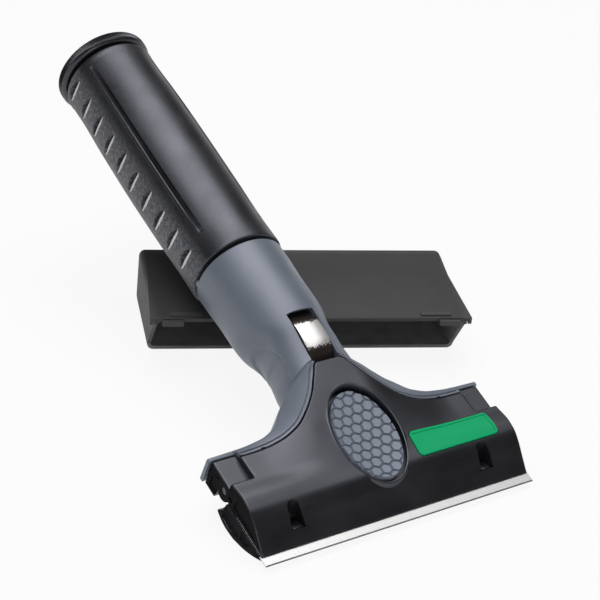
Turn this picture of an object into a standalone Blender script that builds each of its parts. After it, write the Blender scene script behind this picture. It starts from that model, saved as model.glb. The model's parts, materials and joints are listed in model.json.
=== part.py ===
"""Hand scraper, 100 mm blade, leaning on its blade guard.

The scraper is modelled level: X along the blade, Y from the blade's edge back along the handle,
Z up from the plane of the blade. One empty then pitches it nose down, the way it lies when its
neck leans on the guard. All sizes are in metres, written as millimetres times MM.
"""

import math

import bmesh
import bpy
from mathutils import Matrix, Vector

MM = 0.001

# Fits
GAP = 0.3 * MM                # between neighbours that touch or are cut by one another
RUN_GAP = 0.35 * MM           # round pins and turning pieces
OVERRUN = 6.0 * MM            # how far a cutter passes the face that it opens
FLATNESS = 0.0005 * MM        # a quad bent more than this is split

# Blade
BLADE_WIDTH = 100.0 * MM
BLADE_DEPTH = 19.0 * MM
BLADE_THICKNESS = 0.5 * MM
EDGE_BARE = 3.3 * MM          # steel that shows ahead of the cover
EDGE_GRIND = 1.8 * MM         # width of the ground bevel
HOOK_MARGIN = 14.7 * MM       # from each end of the blade to the middle of its hook
HOOK_PLACE = BLADE_WIDTH / 2 - HOOK_MARGIN
HOOK_BACK = 10.2 * MM         # middle of the hooks behind the edge
HOOK_WIDTH = 3.4 * MM
HOOK_LENGTH = 4.0 * MM
HOOK_HEIGHT = 4.2 * MM
SLOT_MARGIN = 0.5 * MM        # blade slot round each hook

# Head, seen in its end face
HEAD_INSET = 0.3 * MM         # the blade stands past the head by this at each end
HEAD_WIDTH = BLADE_WIDTH - 2 * HEAD_INSET
HEAD_BACK = 36.6 * MM         # rear edge of the black cover
LIP_HEIGHT = 0.75 * MM        # top of the cover where the blade leaves it
COVER_FLOOR = 0.55 * MM       # flat underside of the cover over the blade
CREST_RUN = 15.7 * MM         # from the lip back to the crest
CREST_BACK = EDGE_BARE + CREST_RUN
CREST_HEIGHT = 8.9 * MM
LAND_LENGTH = 10.8 * MM       # of the lands, ahead of the cover's rear edge
STEP_BACK = HEAD_BACK - LAND_LENGTH
STEP_HEIGHT = 7.9 * MM
VALLEY_HEIGHT = 7.4 * MM
LAND_HEIGHT = 5.3 * MM        # recessed land at each rear corner
LAND_WIDTH = 8.0 * MM
CHEEK = 3.0 * MM              # end walls that carry the hinge pin
CHEEK_DROP = 4.3 * MM
COVER_WALL = 2.0 * MM
BEAM_BACK = 17.0 * MM         # solid front of the cover that clamps the blade
HUMP_RUN = 19.4 * MM          # from the cover's rear edge back to the hump's end
RIDGE_BACK = HEAD_BACK + HUMP_RUN
RIDGE_HEIGHT = 15.0 * MM
HUMP_SPREAD = 36.0 * MM
HUMP_FLAT = 6.0 * MM          # half width of the hump's level top
TONGUE_MARGIN = 0.8 * MM
TONGUE_BACK = RIDGE_BACK - TONGUE_MARGIN

# Grey frame
FRAME_PROUD = 0.8 * MM        # the grey rim wraps round each rear corner by this
FRAME_WIDTH = HEAD_WIDTH + 2 * FRAME_PROUD
RIM_WIDTH = 1.7 * MM          # grey rim behind the cover at both ends
RIM_DEPTH = 7.4 * MM          # the frame reaches under the cover by this
FRAME_BACK = HEAD_BACK + RIM_WIDTH
FRAME_FRONT = FRAME_BACK - RIM_DEPTH
THROAT_MARGIN = 1.0 * MM
THROAT_BACK = RIDGE_BACK + THROAT_MARGIN
FRAME_DROP = 4.3 * MM
THROAT_DROP = 9.5 * MM

# Lower jaw and its hinge
HINGE_MARGIN = 8.8 * MM       # the pin lies ahead of the cover's rear edge by this
HINGE_BACK = HEAD_BACK - HINGE_MARGIN
HINGE_HEIGHT = 1.7 * MM
PIN_RADIUS = 1.2 * MM
KNUCKLE_RADIUS = 2.6 * MM
KNUCKLE_MARGIN = 10.7 * MM
KNUCKLE_WIDTH = HEAD_WIDTH - 2 * KNUCKLE_MARGIN
JAW_TOP = 0.55 * MM           # below the plane of the blade
HEEL_DROP_BACK = 0.5 * MM     # lower rear edge of the jaw, ahead of the pin
HEEL_BACK = 3.2 * MM          # upper rear edge of the jaw, ahead of the pin
BELLY_MARGIN = 6.2 * MM       # lowest line of the belly, ahead of the pin
JAW_BACK = HINGE_BACK - HEEL_DROP_BACK
JAW_HEEL_BACK = HINGE_BACK - HEEL_BACK
BELLY_BACK = HINGE_BACK - BELLY_MARGIN
BELLY_DROP = 8.4 * MM

# Thumb opening and pad
OVAL_MARGIN = 8.7 * MM        # the oval's middle, ahead of the cover's rear edge
OVAL_BACK = HEAD_BACK - OVAL_MARGIN
OVAL_HEIGHT = 10.6 * MM
OVAL_SLOPE = 0.19
OVAL_HALF_WIDTH = 11.4 * MM
OVAL_HALF_LENGTH = 17.2 * MM
TRAY_WALL = 1.5 * MM
TRAY_LIP = 0.6 * MM           # level top of the raised edge round the opening
TRAY_DEPTH = 2.9 * MM
TRAY_FLOOR = 1.2 * MM
PAD_MARGIN = 0.7 * MM
PAD_RECESS = 1.6 * MM
PAD_TILT = 0.06               # the pad lies flatter than the opening by this slope
CELL_PITCH = 3.7 * MM
CELL_GROOVE = 0.55 * MM
CELL_RISE = 0.45 * MM

# Plain name plate
PLATE_BACK = 19.9 * MM
PLATE_WIDTH = 30.4 * MM
PLATE_MARGIN = 6.2 * MM       # from the head's right end to the plate
PLATE_SIDE = HEAD_WIDTH / 2 - PLATE_MARGIN - PLATE_WIDTH / 2
PLATE_LENGTH = 8.8 * MM
PLATE_CORNER = 1.4 * MM
PLATE_THICKNESS = 0.9 * MM
PLATE_PROUD = 0.35 * MM

# Teardrop windows
TEAR_FRONT = 5.2 * MM
TEAR_BACK = 14.6 * MM
TEAR_TOP_WIDTH = 4.2 * MM
TEAR_FOOT_WIDTH = 4.9 * MM
TEAR_RAMP_BACK = 7.8 * MM

# Handle
AXIS_HEIGHT = 1.7 * MM
NECK_START = 8.4 * MM         # the neck begins behind the cover's rear edge by this
NECK_LENGTH = 61.0 * MM
NECK_FRONT = HEAD_BACK + NECK_START
NECK_BACK = NECK_FRONT + NECK_LENGTH
NECK_RADIUS = 16.5 * MM
SPIGOT_LENGTH = 14.0 * MM
SPIGOT_RADIUS = 12.4 * MM
KEY_WIDTH = 2.0 * MM
KEY_HEIGHT = 2.2 * MM
CORE_RADIUS = 13.6 * MM
GROOVE = 1.2 * MM             # black gap between neck and grip
GRIP_LENGTH = 94.8 * MM
GRIP_BACK = NECK_BACK + GROOVE + GRIP_LENGTH
GRIP_RADIUS = 16.6 * MM
CREASE_DEPTH = 0.55 * MM
CREASE_HALF_WIDTH = 0.7 * MM
COLLAR_GROOVE = 1.4 * MM
COLLAR_LENGTH = 4.0 * MM
COLLAR_FRONT = GRIP_BACK + COLLAR_GROOVE
HANDLE_BACK = COLLAR_FRONT + COLLAR_LENGTH
COLLAR_RADIUS = 17.05 * MM
COLLAR_LIP_RADIUS = 12.9 * MM
BEAD_RISE = 0.5 * MM
KNURL_DEPTH = 0.4 * MM
KNURL_COUNT = 42
BORE_MARGIN = 13.0 * MM
BORE_FRONT = NECK_FRONT + BORE_MARGIN
BORE_TIP_RADIUS = 9.0 * MM
BORE_MOUTH_RADIUS = 11.4 * MM

# Finger scoops
SCOOP_COUNT = 10
SCOOP_MARGIN = 8.4 * MM       # from the grip's front to the middle of its first scoop
SCOOP_FIRST_BACK = NECK_BACK + GROOVE + SCOOP_MARGIN
SCOOP_PITCH = 9.17 * MM
SCOOP_LENGTH = 9.4 * MM
SCOOP_WIDTH = 2.3 * MM
SCOOP_DEPTH = 1.1 * MM
SCOOP_HEIGHT = 1.1 * MM       # middle of each scoop above the handle's axis

# Finger hollows in the neck
HOLLOW_MARGIN = 19.5 * MM
HOLLOW_BACK = NECK_FRONT + HOLLOW_MARGIN
HOLLOW_HEIGHT = 1.2 * MM
HOLLOW_RADIUS = 8.6 * MM
HOLLOW_DEPTH = 1.5 * MM

# Lock leaf and its window
WINDOW_MARGIN = 0.4 * MM      # between the cover's tongue and the window
WINDOW_LENGTH = 18.6 * MM
WINDOW_FRONT = TONGUE_BACK + WINDOW_MARGIN
WINDOW_BACK = WINDOW_FRONT + WINDOW_LENGTH
WINDOW_WIDTH = 9.8 * MM
WINDOW_UNDERCUT = 4.3 * MM
LEAF_WIDTH = 8.8 * MM
LEAF_THICKNESS = 0.7 * MM
LEAF_SEAT_HEIGHT = 10.4 * MM
LEAF_TUCK = 4.0 * MM          # the leaf's rivet lies ahead of the window by this
LEAF_TAIL = 2.4 * MM          # its rear end passes the window by this
LEAF_PIVOT_BACK = WINDOW_FRONT - LEAF_TUCK
LEAF_BACK = WINDOW_BACK + LEAF_TAIL
LEAF_RISE = 5.4 * MM
RIVET_RADIUS = 1.1 * MM
RIVET_HEAD_RADIUS = 2.0 * MM
RIVET_HEAD_HEIGHT = 0.55 * MM

# Cover screws
SCREW_OUTER_MARGIN = 16.7 * MM
SCREW_OUTER_SIDE = HEAD_WIDTH / 2 - SCREW_OUTER_MARGIN
SCREW_OUTER_DEPTH = 2.6 * MM  # ahead of the cover's rear edge
SCREW_OUTER_BACK = HEAD_BACK - SCREW_OUTER_DEPTH
SCREW_INNER_SIDE = 14.2 * MM
SCREW_INNER_DEPTH = 0.8 * MM  # behind the line of the cover's rear edge
SCREW_INNER_BACK = HEAD_BACK + SCREW_INNER_DEPTH
SCREW_RADIUS = 1.1 * MM
SCREW_HEAD_RADIUS = 2.3 * MM
SCREW_HEAD_HEIGHT = 1.5 * MM
BOSS_RADIUS = 2.2 * MM

# Blade guard
GUARD_DEPTH = 48.0 * MM
GUARD_HEIGHT = 20.0 * MM
GUARD_WALL = 1.2 * MM
GUARD_CLEARANCE = 4.7 * MM    # from each end of the blade to the mouth's outer edge
GUARD_TAPER = 0.9 * MM        # each side draws in by this toward the closed end
GUARD_MOUTH_WIDTH = BLADE_WIDTH + 2 * GUARD_CLEARANCE
GUARD_CLOSED_WIDTH = GUARD_MOUTH_WIDTH - 2 * GUARD_TAPER
GUARD_EAVE = 1.6 * MM         # the top panel passes the side walls by this much
GUARD_SETBACK = 13.5 * MM     # of the bottom panel
GUARD_ROUND = 2.2 * MM
GUARD_TURN = 24.2             # degrees, of its long side from the blade's direction
GUARD_SIDE_SHIFT = 26.5 * MM  # its middle, right of the point under the neck
GUARD_LEAN_REACH = 1.5 * MM   # from its top edge back to the point that the neck leans on
LEAN_MARGIN = 4.5 * MM        # the neck leans on the guard this far from its rear end
LEAN_BACK = NECK_BACK - LEAN_MARGIN
LIP_LENGTH = 7.0 * MM
LIP_MARGIN = 7.7 * MM
LIP_SIDE = GUARD_MOUTH_WIDTH / 2 - LIP_MARGIN
LIP_REACH = 1.4 * MM
LIP_THICKNESS = 1.0 * MM
BAR_LENGTH = 10.5 * MM
BAR_MARGIN = 12.2 * MM
BAR_SIDE = GUARD_MOUTH_WIDTH / 2 - BAR_MARGIN
BAR_WIDTH = 2.0 * MM
BAR_RISE = 0.6 * MM
BAR_BACK = 1.3 * MM

# Outlines as shares of the sizes above
RIDGE_SHARES = ((0.25, 0.31), (0.50, 0.60), (0.75, 0.84), (1.0, 1.0))
COVER_ARC_SHARES = ((0.0, 0.0), (0.27, 0.37), (0.56, 0.76), (0.78, 0.95), (1.0, 1.0))
RIM_OUTER_SHARES = ((0.0, 1.0), (0.087, 0.98), (0.238, 0.80), (0.317, 0.65), (0.41, 0.444),
                    (0.515, 0.15), (0.634, 0.03), (0.79, 0.0), (1.0, 0.0))
RIM_HEIGHT_SHARES = ((0.0, 1.0), (0.087, 0.95), (0.238, 0.60), (0.317, 0.37), (0.41, 0.19),
                     (0.515, 0.18), (0.634, 0.14), (0.79, 0.06), (1.0, 0.0))
RIM_INNER_SHARES = ((0.0, 1.0), (0.085, 1.0), (0.14, 0.80), (0.21, 0.51), (0.30, 0.26),
                    (0.40, 0.11), (0.53, 0.01), (0.74, 0.0), (1.0, 0.0))
THROAT_SHARES = ((0.0, 1.0), (0.2, 0.85), (0.4, 0.35), (0.55, 0.0), (1.0, 0.0))
# Each station: place along the neck, half width, rise and drop as shares of its radius
NECK_SHARES = ((0.0, 0.80, 0.70, 0.52), (0.10, 0.87, 0.80, 0.72), (0.18, 0.865, 0.81, 0.79),
               (0.25, 0.835, 0.845, 0.82), (0.31, 0.825, 0.885, 0.81), (0.42, 0.85, 0.955, 0.825),
               (0.54, 0.92, 0.97, 0.91), (0.62, 0.94, 0.958, 0.935), (0.75, 0.94, 0.945, 0.94),
               (0.88, 0.965, 0.955, 0.97), (1.0, 0.995, 0.965, 1.005))
GRIP_SHARES = ((0.0, 0.945, 0.885, 1.015), (0.012, 0.962, 0.90, 1.035), (0.12, 0.975, 0.91, 1.045),
               (0.30, 1.0, 0.945, 1.06), (0.50, 1.015, 0.975, 1.05), (0.72, 1.0, 1.0, 1.0),
               (0.90, 0.965, 0.985, 0.945), (0.965, 0.97, 0.99, 0.955), (0.99, 0.985, 1.005, 0.975),
               (1.0, 0.96, 0.98, 0.95))
GRIP_RING_SHARES = (0.2, 0.4, 0.6, 0.8)
JAW_BELLY_SHARES = ((0.0, 0.08), (0.22, 0.42), (0.48, 0.73), (0.76, 0.95), (1.0, 1.0))
LEAF_SHARES = ((0.0, 0.0), (0.20, 0.0), (0.38, 0.72), (0.52, 0.92), (0.74, 1.0), (0.84, 0.80),
               (1.0, 0.42))


# Small tools

def smooth(points, at):
    """Value at a place on a smooth curve through the points, with no overshoot."""
    if at <= points[0][0]:
        return points[0][1]
    if at >= points[-1][0]:
        return points[-1][1]
    slopes = [(b[1] - a[1]) / (b[0] - a[0]) for a, b in zip(points, points[1:])]
    tangents = [slopes[0]]
    for before, after in zip(slopes, slopes[1:]):
        level = before * after <= 0
        tangents.append(0.0 if level else 2 * before * after / (before + after))
    tangents.append(slopes[-1])
    for i, (a, b) in enumerate(zip(points, points[1:])):
        if at <= b[0]:
            span = b[0] - a[0]
            t = (at - a[0]) / span
            ease = t * t * (3 - 2 * t)
            lead = t * (1 - t) * (1 - t) * tangents[i]
            trail = t * t * (t - 1) * tangents[i + 1]
            return a[1] + (b[1] - a[1]) * ease + span * (lead + trail)
    return points[-1][1]


def material(name, colour, roughness, metallic=0.0):
    made = bpy.data.materials.new(name)
    made.use_nodes = True
    shader = made.node_tree.nodes["Principled BSDF"]
    shader.inputs["Base Color"].default_value = (*colour, 1.0)
    shader.inputs["Roughness"].default_value = roughness
    shader.inputs["Metallic"].default_value = metallic
    made.diffuse_color = (*colour, 1.0)
    return made


def place(name, mesh, parent=None, finish=None):
    """Add a mesh object, smooth on its round sides, under its parent."""
    mesh.shade_smooth()
    mesh.set_sharp_from_angle(angle=math.radians(32))
    made = bpy.data.objects.new(name, mesh)
    bpy.context.scene.collection.objects.link(made)
    made.parent = parent
    if finish is not None:
        mesh.materials.append(finish)
    return made


def bend(face):
    """How far the last corner of a quad lies off the plane of the others."""
    first, second, third, last = (vertex.co for vertex in face.verts)
    normal = (second - first).cross(third - first)
    if normal.length == 0:
        return 1.0
    return abs((last - first).dot(normal.normalized()))


def from_bmesh(name, shape, parent=None, finish=None):
    """Closed mesh whose bent quads are split, so that every face is flat."""
    bmesh.ops.recalc_face_normals(shape, faces=shape.faces)
    quads = [face for face in shape.faces if len(face.verts) == 4]
    bent = [face for face in quads if bend(face) > FLATNESS]
    bmesh.ops.triangulate(shape, faces=bent)
    mesh = bpy.data.meshes.new(name)
    shape.to_mesh(mesh)
    shape.free()
    return place(name, mesh, parent, finish)


def empty(name, location=(0, 0, 0), parent=None):
    made = bpy.data.objects.new(name, None)
    made.empty_display_size = 10 * MM
    made.location = location
    bpy.context.scene.collection.objects.link(made)
    made.parent = parent
    return made


def keep_in_place(axis):
    """Shift what hangs on a joint's empty back to where it was drawn."""
    for child in axis.children:
        child.location = -axis.location


def cutter(made):
    made.hide_render = True
    made.display_type = "WIRE"
    return made


def combine(target, other, operation):
    """Cut, join or intersect by an exact Boolean that stays on the object."""
    cutter(other)
    other.parent = target.parent
    step = target.modifiers.new(other.name, "BOOLEAN")
    step.operation = operation
    step.solver = "EXACT"
    step.object = other
    return target


def cut(target, *others):
    for other in others:
        combine(target, other, "DIFFERENCE")


def join(target, *others):
    for other in others:
        combine(target, other, "UNION")


def skin_rings(shape, rings, closed=False):
    """Join rings of vertices, each with as many points, and cap both ends unless closed."""
    rows = [[shape.verts.new(point) for point in ring] for ring in rings]
    pairs = list(zip(rows, rows[1:]))
    if closed:
        pairs.append((rows[-1], rows[0]))
    for one, two in pairs:
        for i in range(len(one)):
            j = (i + 1) % len(one)
            shape.faces.new((one[i], one[j], two[j], two[i]))
    if not closed:
        shape.faces.new(list(reversed(rows[0])))
        shape.faces.new(rows[-1])


def loft(name, rings, parent=None, finish=None):
    shape = bmesh.new()
    skin_rings(shape, rings)
    return from_bmesh(name, shape, parent, finish)


def box(name, x, y, z, parent=None, finish=None):
    """Box from its three ranges."""
    ring = ((x[0], y[0]), (x[1], y[0]), (x[1], y[1]), (x[0], y[1]))
    rings = [[(a, b, height) for a, b in ring] for height in z]
    return loft(name, rings, parent, finish)


def prism_x(name, outline, x, parent=None, finish=None):
    """Outline in Y and Z, drawn along X."""
    return loft(name, [[(side, y, z) for y, z in outline] for side in x], parent, finish)


def prism_z(name, outline, z, parent=None, finish=None):
    """Outline in X and Y, drawn along Z."""
    return loft(name, [[(x, y, height) for x, y in outline] for height in z], parent, finish)


def rod_x(name, radius, x, centre, steps=24, parent=None, finish=None):
    turns = [2 * math.pi * i / steps for i in range(steps)]
    outline = [(centre[0] + radius * math.cos(a), centre[1] + radius * math.sin(a)) for a in turns]
    return prism_x(name, outline, x, parent, finish)


def rod_z(name, radius, z, centre, steps=24, parent=None, finish=None):
    turns = [2 * math.pi * i / steps for i in range(steps)]
    outline = [(centre[0] + radius * math.cos(a), centre[1] + radius * math.sin(a)) for a in turns]
    return prism_z(name, outline, z, parent, finish)


def turned(name, profile, steps, parent=None, finish=None, wave=None):
    """Ring turned about the handle's axis from a closed profile of radius and place."""
    rings = []
    for i in range(steps):
        angle = 2 * math.pi * i / steps
        swing = wave(i) if wave else 0.0
        ring = []
        for radius, y, waved in profile:
            reach = radius - (swing if waved else 0.0)
            ring.append((reach * math.cos(angle), y, AXIS_HEIGHT + reach * math.sin(angle)))
        rings.append(ring)
    shape = bmesh.new()
    skin_rings(shape, rings, closed=True)
    return from_bmesh(name, shape, parent, finish)


def cone_y(name, ends, steps=40, parent=None, finish=None):
    """Solid round piece along the handle's axis, from pairs of place and radius."""
    rings = []
    for y, radius in ends:
        turns = [2 * math.pi * i / steps for i in range(steps)]
        rings.append([(radius * math.cos(a), y, AXIS_HEIGHT + radius * math.sin(a)) for a in turns])
    return loft(name, rings, parent, finish)


# Surfaces of the head

def cover_arc():
    """Front slope of the cover, from its lip up to its crest."""
    run = CREST_BACK - EDGE_BARE
    rise = CREST_HEIGHT - LIP_HEIGHT
    return [(EDGE_BARE + y * run, LIP_HEIGHT + z * rise) for y, z in COVER_ARC_SHARES]


def side_height(y):
    tail = [(STEP_BACK, STEP_HEIGHT), (HEAD_BACK, VALLEY_HEIGHT)]
    return smooth(cover_arc() + tail, y)


def ridge_height(y):
    run = RIDGE_BACK - CREST_BACK
    rise = RIDGE_HEIGHT - CREST_HEIGHT
    climb = [(CREST_BACK + back * run, CREST_HEIGHT + up * rise) for back, up in RIDGE_SHARES]
    return smooth(cover_arc() + climb, y)


def hump_share(x):
    """Full height over the level top, then an even fall to nothing."""
    over = (abs(x) - HUMP_FLAT) / (HUMP_SPREAD - HUMP_FLAT)
    return math.cos(math.pi / 2 * min(max(over, 0.0), 1.0)) ** 2


def cover_height(x, y):
    """Top of the cover: one arched section, with a hump that climbs to the neck."""
    side = side_height(y)
    return side + (ridge_height(y) - side) * hump_share(x)


def wing_outer(x):
    share = smooth(RIM_OUTER_SHARES, abs(x) / (FRAME_WIDTH / 2))
    return FRAME_BACK + share * (THROAT_BACK - FRAME_BACK)


def wing_edge_height(x):
    share = smooth(RIM_HEIGHT_SHARES, abs(x) / (FRAME_WIDTH / 2))
    return LAND_HEIGHT + share * (RIDGE_HEIGHT - LAND_HEIGHT)


def cover_rear(x):
    """Rear edge of the cover; its narrow tongue reaches the window."""
    share = smooth(RIM_INNER_SHARES, abs(x) / (FRAME_WIDTH / 2))
    return HEAD_BACK + share * (TONGUE_BACK - HEAD_BACK)


def wing_height(x, y):
    """Top of the grey rim: it leaves the cover's surface and rolls down to its outer edge."""
    inner = cover_rear(x)
    if y <= inner:
        return cover_height(x, y)
    start = cover_height(x, inner)
    if abs(x) > HEAD_WIDTH / 2 - LAND_WIDTH:
        start = LAND_HEIGHT
    share = (y - inner) / max(wing_outer(x) - inner, GAP)
    return start + (wing_edge_height(x) - start) * min(share, 1.0) ** 1.5


def frame_floor(x, y):
    share = smooth(THROAT_SHARES, abs(x) / (FRAME_WIDTH / 2))
    reach = min(max((y - FRAME_FRONT) / (THROAT_BACK - FRAME_FRONT), 0.0), 1.0)
    return -FRAME_DROP - (THROAT_DROP - FRAME_DROP) * share * reach


def slab(name, sides, front, rear, top, bottom, rows, parent=None, finish=None, knee=None):
    """Closed body between two surfaces over an outline given by its front and rear edges.

    The bottom is a surface, or one height. A knee is a place that one row runs through, and the
    number of rows ahead of it."""
    level = not callable(bottom)
    shape = bmesh.new()
    upper = []
    lower = []
    for x in sides:
        start = front(x)
        middle, ahead = knee if knee else (start, 0)
        places = [start + (middle - start) * i / ahead for i in range(ahead)]
        behind = rows - ahead
        places += [middle + (rear(x) - middle) * i / behind for i in range(behind + 1)]
        upper.append([shape.verts.new((x, y, top(x, y))) for y in places])
        if level:
            lower.append([shape.verts.new((x, y, bottom)) for y in (places[0], places[-1])])
        else:
            lower.append([shape.verts.new((x, y, bottom(x, y))) for y in places])
    last = len(sides) - 1
    for i in range(last):
        for rail in (upper, lower):
            for j in range(len(rail[i]) - 1):
                shape.faces.new((rail[i][j], rail[i + 1][j], rail[i + 1][j + 1], rail[i][j + 1]))
        for j in (0, -1):
            shape.faces.new((upper[i][j], lower[i][j], lower[i + 1][j], upper[i + 1][j]))
    for i in (0, last):
        shape.faces.new(upper[i] + list(reversed(lower[i])))
    return from_bmesh(name, shape, parent, finish)


def head_sides(half):
    """Places across the head, alike on both sides and for every piece of it."""
    whole = FRAME_WIDTH / 2
    right = [whole * share for share in SIDE_SHARES if whole * share < half - GAP] + [half]
    return [-x for x in reversed(right) if x > 0] + right


SIDE_SHARES = (0.0, 0.05, 0.09, 0.14, 0.20, 0.26, 0.32, 0.38, 0.45, 0.52, 0.60, 0.70, 0.85)


def rounded_box(width, length, corner, steps=4):
    """Outline of a rectangle with round corners about its middle."""
    outline = []
    for quarter in range(4):
        centre_x = (width / 2 - corner) * (1 if quarter in (0, 3) else -1)
        centre_y = (length / 2 - corner) * (1 if quarter in (0, 1) else -1)
        for i in range(steps + 1):
            angle = math.pi / 2 * (quarter + i / steps)
            outline.append((centre_x + corner * math.cos(angle), centre_y + corner * math.sin(angle)))
    return outline


def oval_point(x, along, depth, tilt=0.0):
    """Point on the thumb opening's sloping plane, or at a depth from it that may tilt."""
    slope = math.atan(OVAL_SLOPE)
    return (x, OVAL_BACK + along * math.cos(slope),
            OVAL_HEIGHT + along * math.sin(slope) + depth - along * tilt)


def oval_body(name, stations, parent=None, finish=None, steps=40):
    """Oval body from stations of margin, depth and tilt, low ones first."""
    rings = []
    for margin, depth, tilt in stations:
        wide = OVAL_HALF_WIDTH + margin
        long = OVAL_HALF_LENGTH + margin
        turns = [2 * math.pi * (i + 0.5) / steps for i in range(steps)]
        rings.append([oval_point(wide * math.cos(a), long * math.sin(a), depth, tilt) for a in turns])
    return loft(name, rings, parent, finish)


# Head cover

def land_cutters(parent):
    """Boxes that lower both rear corners to the lands."""
    made = []
    inner = HEAD_WIDTH / 2 - LAND_WIDTH
    outer = HEAD_WIDTH / 2 + OVERRUN
    for name, sign in (("land_left", -1), ("land_right", 1)):
        x = sorted((sign * inner, sign * outer))
        made.append(box(name, x, (STEP_BACK, HEAD_BACK + OVERRUN),
                        (LAND_HEIGHT, RIDGE_HEIGHT + OVERRUN), parent))
    return made


def cover_cavities(parent):
    """Hollow behind the clamping beam, with a lower part under the lands."""
    half_high = HEAD_WIDTH / 2 - LAND_WIDTH - COVER_WALL
    sides = head_sides(half_high)
    low = -CHEEK_DROP - OVERRUN
    high = slab("cover_cavity_high", sides, lambda x: BEAM_BACK,
                lambda x: cover_rear(x) + OVERRUN,
                lambda x, y: cover_height(x, min(y, RIDGE_BACK)) - COVER_WALL,
                low, 8, parent)
    half_low = HEAD_WIDTH / 2 - CHEEK
    flat = box("cover_cavity_low", (-half_low, half_low), (BEAM_BACK, HEAD_BACK + OVERRUN),
               (low, LAND_HEIGHT - COVER_WALL + GAP / 2), parent)
    return high, flat


def cheek(name, sign, parent):
    """End wall that turns down round the hinge pin and closes the rear of the end face."""
    boss = KNUCKLE_RADIUS + CHEEK / 4
    inner = sign * (HEAD_WIDTH / 2 - CHEEK)
    outer = sign * HEAD_WIDTH / 2
    outline = [(BEAM_BACK - CHEEK, COVER_FLOOR), (BEAM_BACK - CHEEK, LAND_HEIGHT - CHEEK / 2),
               (HEAD_BACK - GAP, LAND_HEIGHT - CHEEK / 2), (HEAD_BACK - GAP, -CHEEK_DROP)]
    outline.append((HINGE_BACK + boss * 0.9, -CHEEK_DROP))
    for degrees in (-45, -75, -105, -135, -165):
        angle = math.radians(degrees)
        outline.append((HINGE_BACK + boss * math.cos(angle), HINGE_HEIGHT + boss * math.sin(angle)))
    return prism_x(name, outline, sorted((inner, outer)), parent)


def teardrop(name, sign, parent):
    """Window over a hook: round at its rear, with a ramp that climbs to the front."""
    centre = sign * HOOK_PLACE
    round_radius = TEAR_TOP_WIDTH / 2
    outline = [(centre - TEAR_FOOT_WIDTH / 2, TEAR_FRONT), (centre + TEAR_FOOT_WIDTH / 2, TEAR_FRONT)]
    for i in range(9):
        angle = math.pi * i / 8
        outline.append((centre + round_radius * math.cos(angle),
                        TEAR_BACK - round_radius + round_radius * math.sin(angle)))
    high = RIDGE_HEIGHT
    made = prism_z(name, outline, (COVER_FLOOR - OVERRUN, high), parent)
    ramp_top = side_height(TEAR_FRONT)
    ramp = [(TEAR_FRONT - OVERRUN, COVER_FLOOR - 2 * OVERRUN), (TEAR_RAMP_BACK, COVER_FLOOR - 2 * OVERRUN),
            (TEAR_RAMP_BACK, COVER_FLOOR + GAP), (TEAR_FRONT, ramp_top - GAP),
            (TEAR_FRONT - OVERRUN, ramp_top)]
    half = TEAR_FOOT_WIDTH
    keep = prism_x(name + "_ramp", ramp, (centre - half, centre + half), parent)
    combine(made, keep, "DIFFERENCE")
    return made


def plate_slab(name, margin, low, high, parent=None, finish=None):
    """Rounded plate that follows the cover's arch, between two depths from its surface."""
    outline = rounded_box(PLATE_WIDTH + 2 * margin, PLATE_LENGTH + 2 * margin, PLATE_CORNER + margin)
    sides = sorted({round(x, 9) for x, _ in outline})
    whole_width = PLATE_WIDTH + 2 * margin
    inner = [whole_width * share for share in (-0.3, -0.1, 0.1, 0.3)]
    sides = sorted(sides + inner)

    def edge(x):
        half = PLATE_LENGTH / 2 + margin
        corner = PLATE_CORNER + margin
        over = abs(x) - (whole_width / 2 - corner)
        if over <= 0:
            return half
        return half - corner + math.sqrt(max(corner * corner - over * over, 0.0))

    return slab(name, [PLATE_SIDE + x for x in sides],
                lambda x: PLATE_BACK - edge(x - PLATE_SIDE),
                lambda x: PLATE_BACK + edge(x - PLATE_SIDE),
                lambda x, y: cover_height(x, y) + high,
                lambda x, y: cover_height(x, y) + low, 6, parent, finish)


def screw_places():
    outer = [(side * SCREW_OUTER_SIDE, SCREW_OUTER_BACK) for side in (-1, 1)]
    inner = [(side * SCREW_INNER_SIDE, SCREW_INNER_BACK) for side in (-1, 1)]
    return outer + inner


def screw_top(x, y):
    return cover_height(x, y) - COVER_WALL / 2 - GAP


def build_cover(parent, finish):
    half = HEAD_WIDTH / 2
    sides = head_sides(half)
    cover = slab("top_cover", sides, lambda x: EDGE_BARE, cover_rear, cover_height, COVER_FLOOR,
                 14, parent, finish, (CREST_BACK, 7))
    cut(cover, *cover_cavities(parent))
    join(cover, cheek("cheek_left", -1, parent), cheek("cheek_right", 1, parent))
    for i, (x, y) in enumerate(screw_places()):
        boss = rod_z(f"cover_boss_{i + 1}", BOSS_RADIUS, (boss_foot(x, y), screw_top(x, y)), (x, y),
                     20, parent)
        join(cover, boss)
        bore = rod_z(f"cover_boss_bore_{i + 1}", SCREW_RADIUS + GAP,
                     (boss_foot(x, y) - OVERRUN, screw_top(x, y) - GAP), (x, y), 16, parent)
        cut(cover, bore)
    tray = oval_body("thumb_tray", ((TRAY_WALL, -TRAY_DEPTH - TRAY_FLOOR, PAD_TILT),
                                    (TRAY_WALL, TRAY_LIP - TRAY_WALL, 0.0),
                                    (TRAY_LIP, 0.0, 0.0)), parent)
    join(cover, tray)
    cut(cover, *land_cutters(parent))
    cut(cover, oval_body("thumb_opening", ((0.0, -TRAY_DEPTH, PAD_TILT), (0.0, OVERRUN, 0.0)), parent))
    cut(cover, plate_slab("plate_pocket", GAP, -PLATE_THICKNESS, OVERRUN, parent))
    cut(cover, teardrop("teardrop_left", -1, parent), teardrop("teardrop_right", 1, parent))
    cut(cover, rod_x("cheek_bore", PIN_RADIUS + GAP, (-half - OVERRUN, half + OVERRUN),
                     (HINGE_BACK, HINGE_HEIGHT), 20, parent))
    return cover


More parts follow.
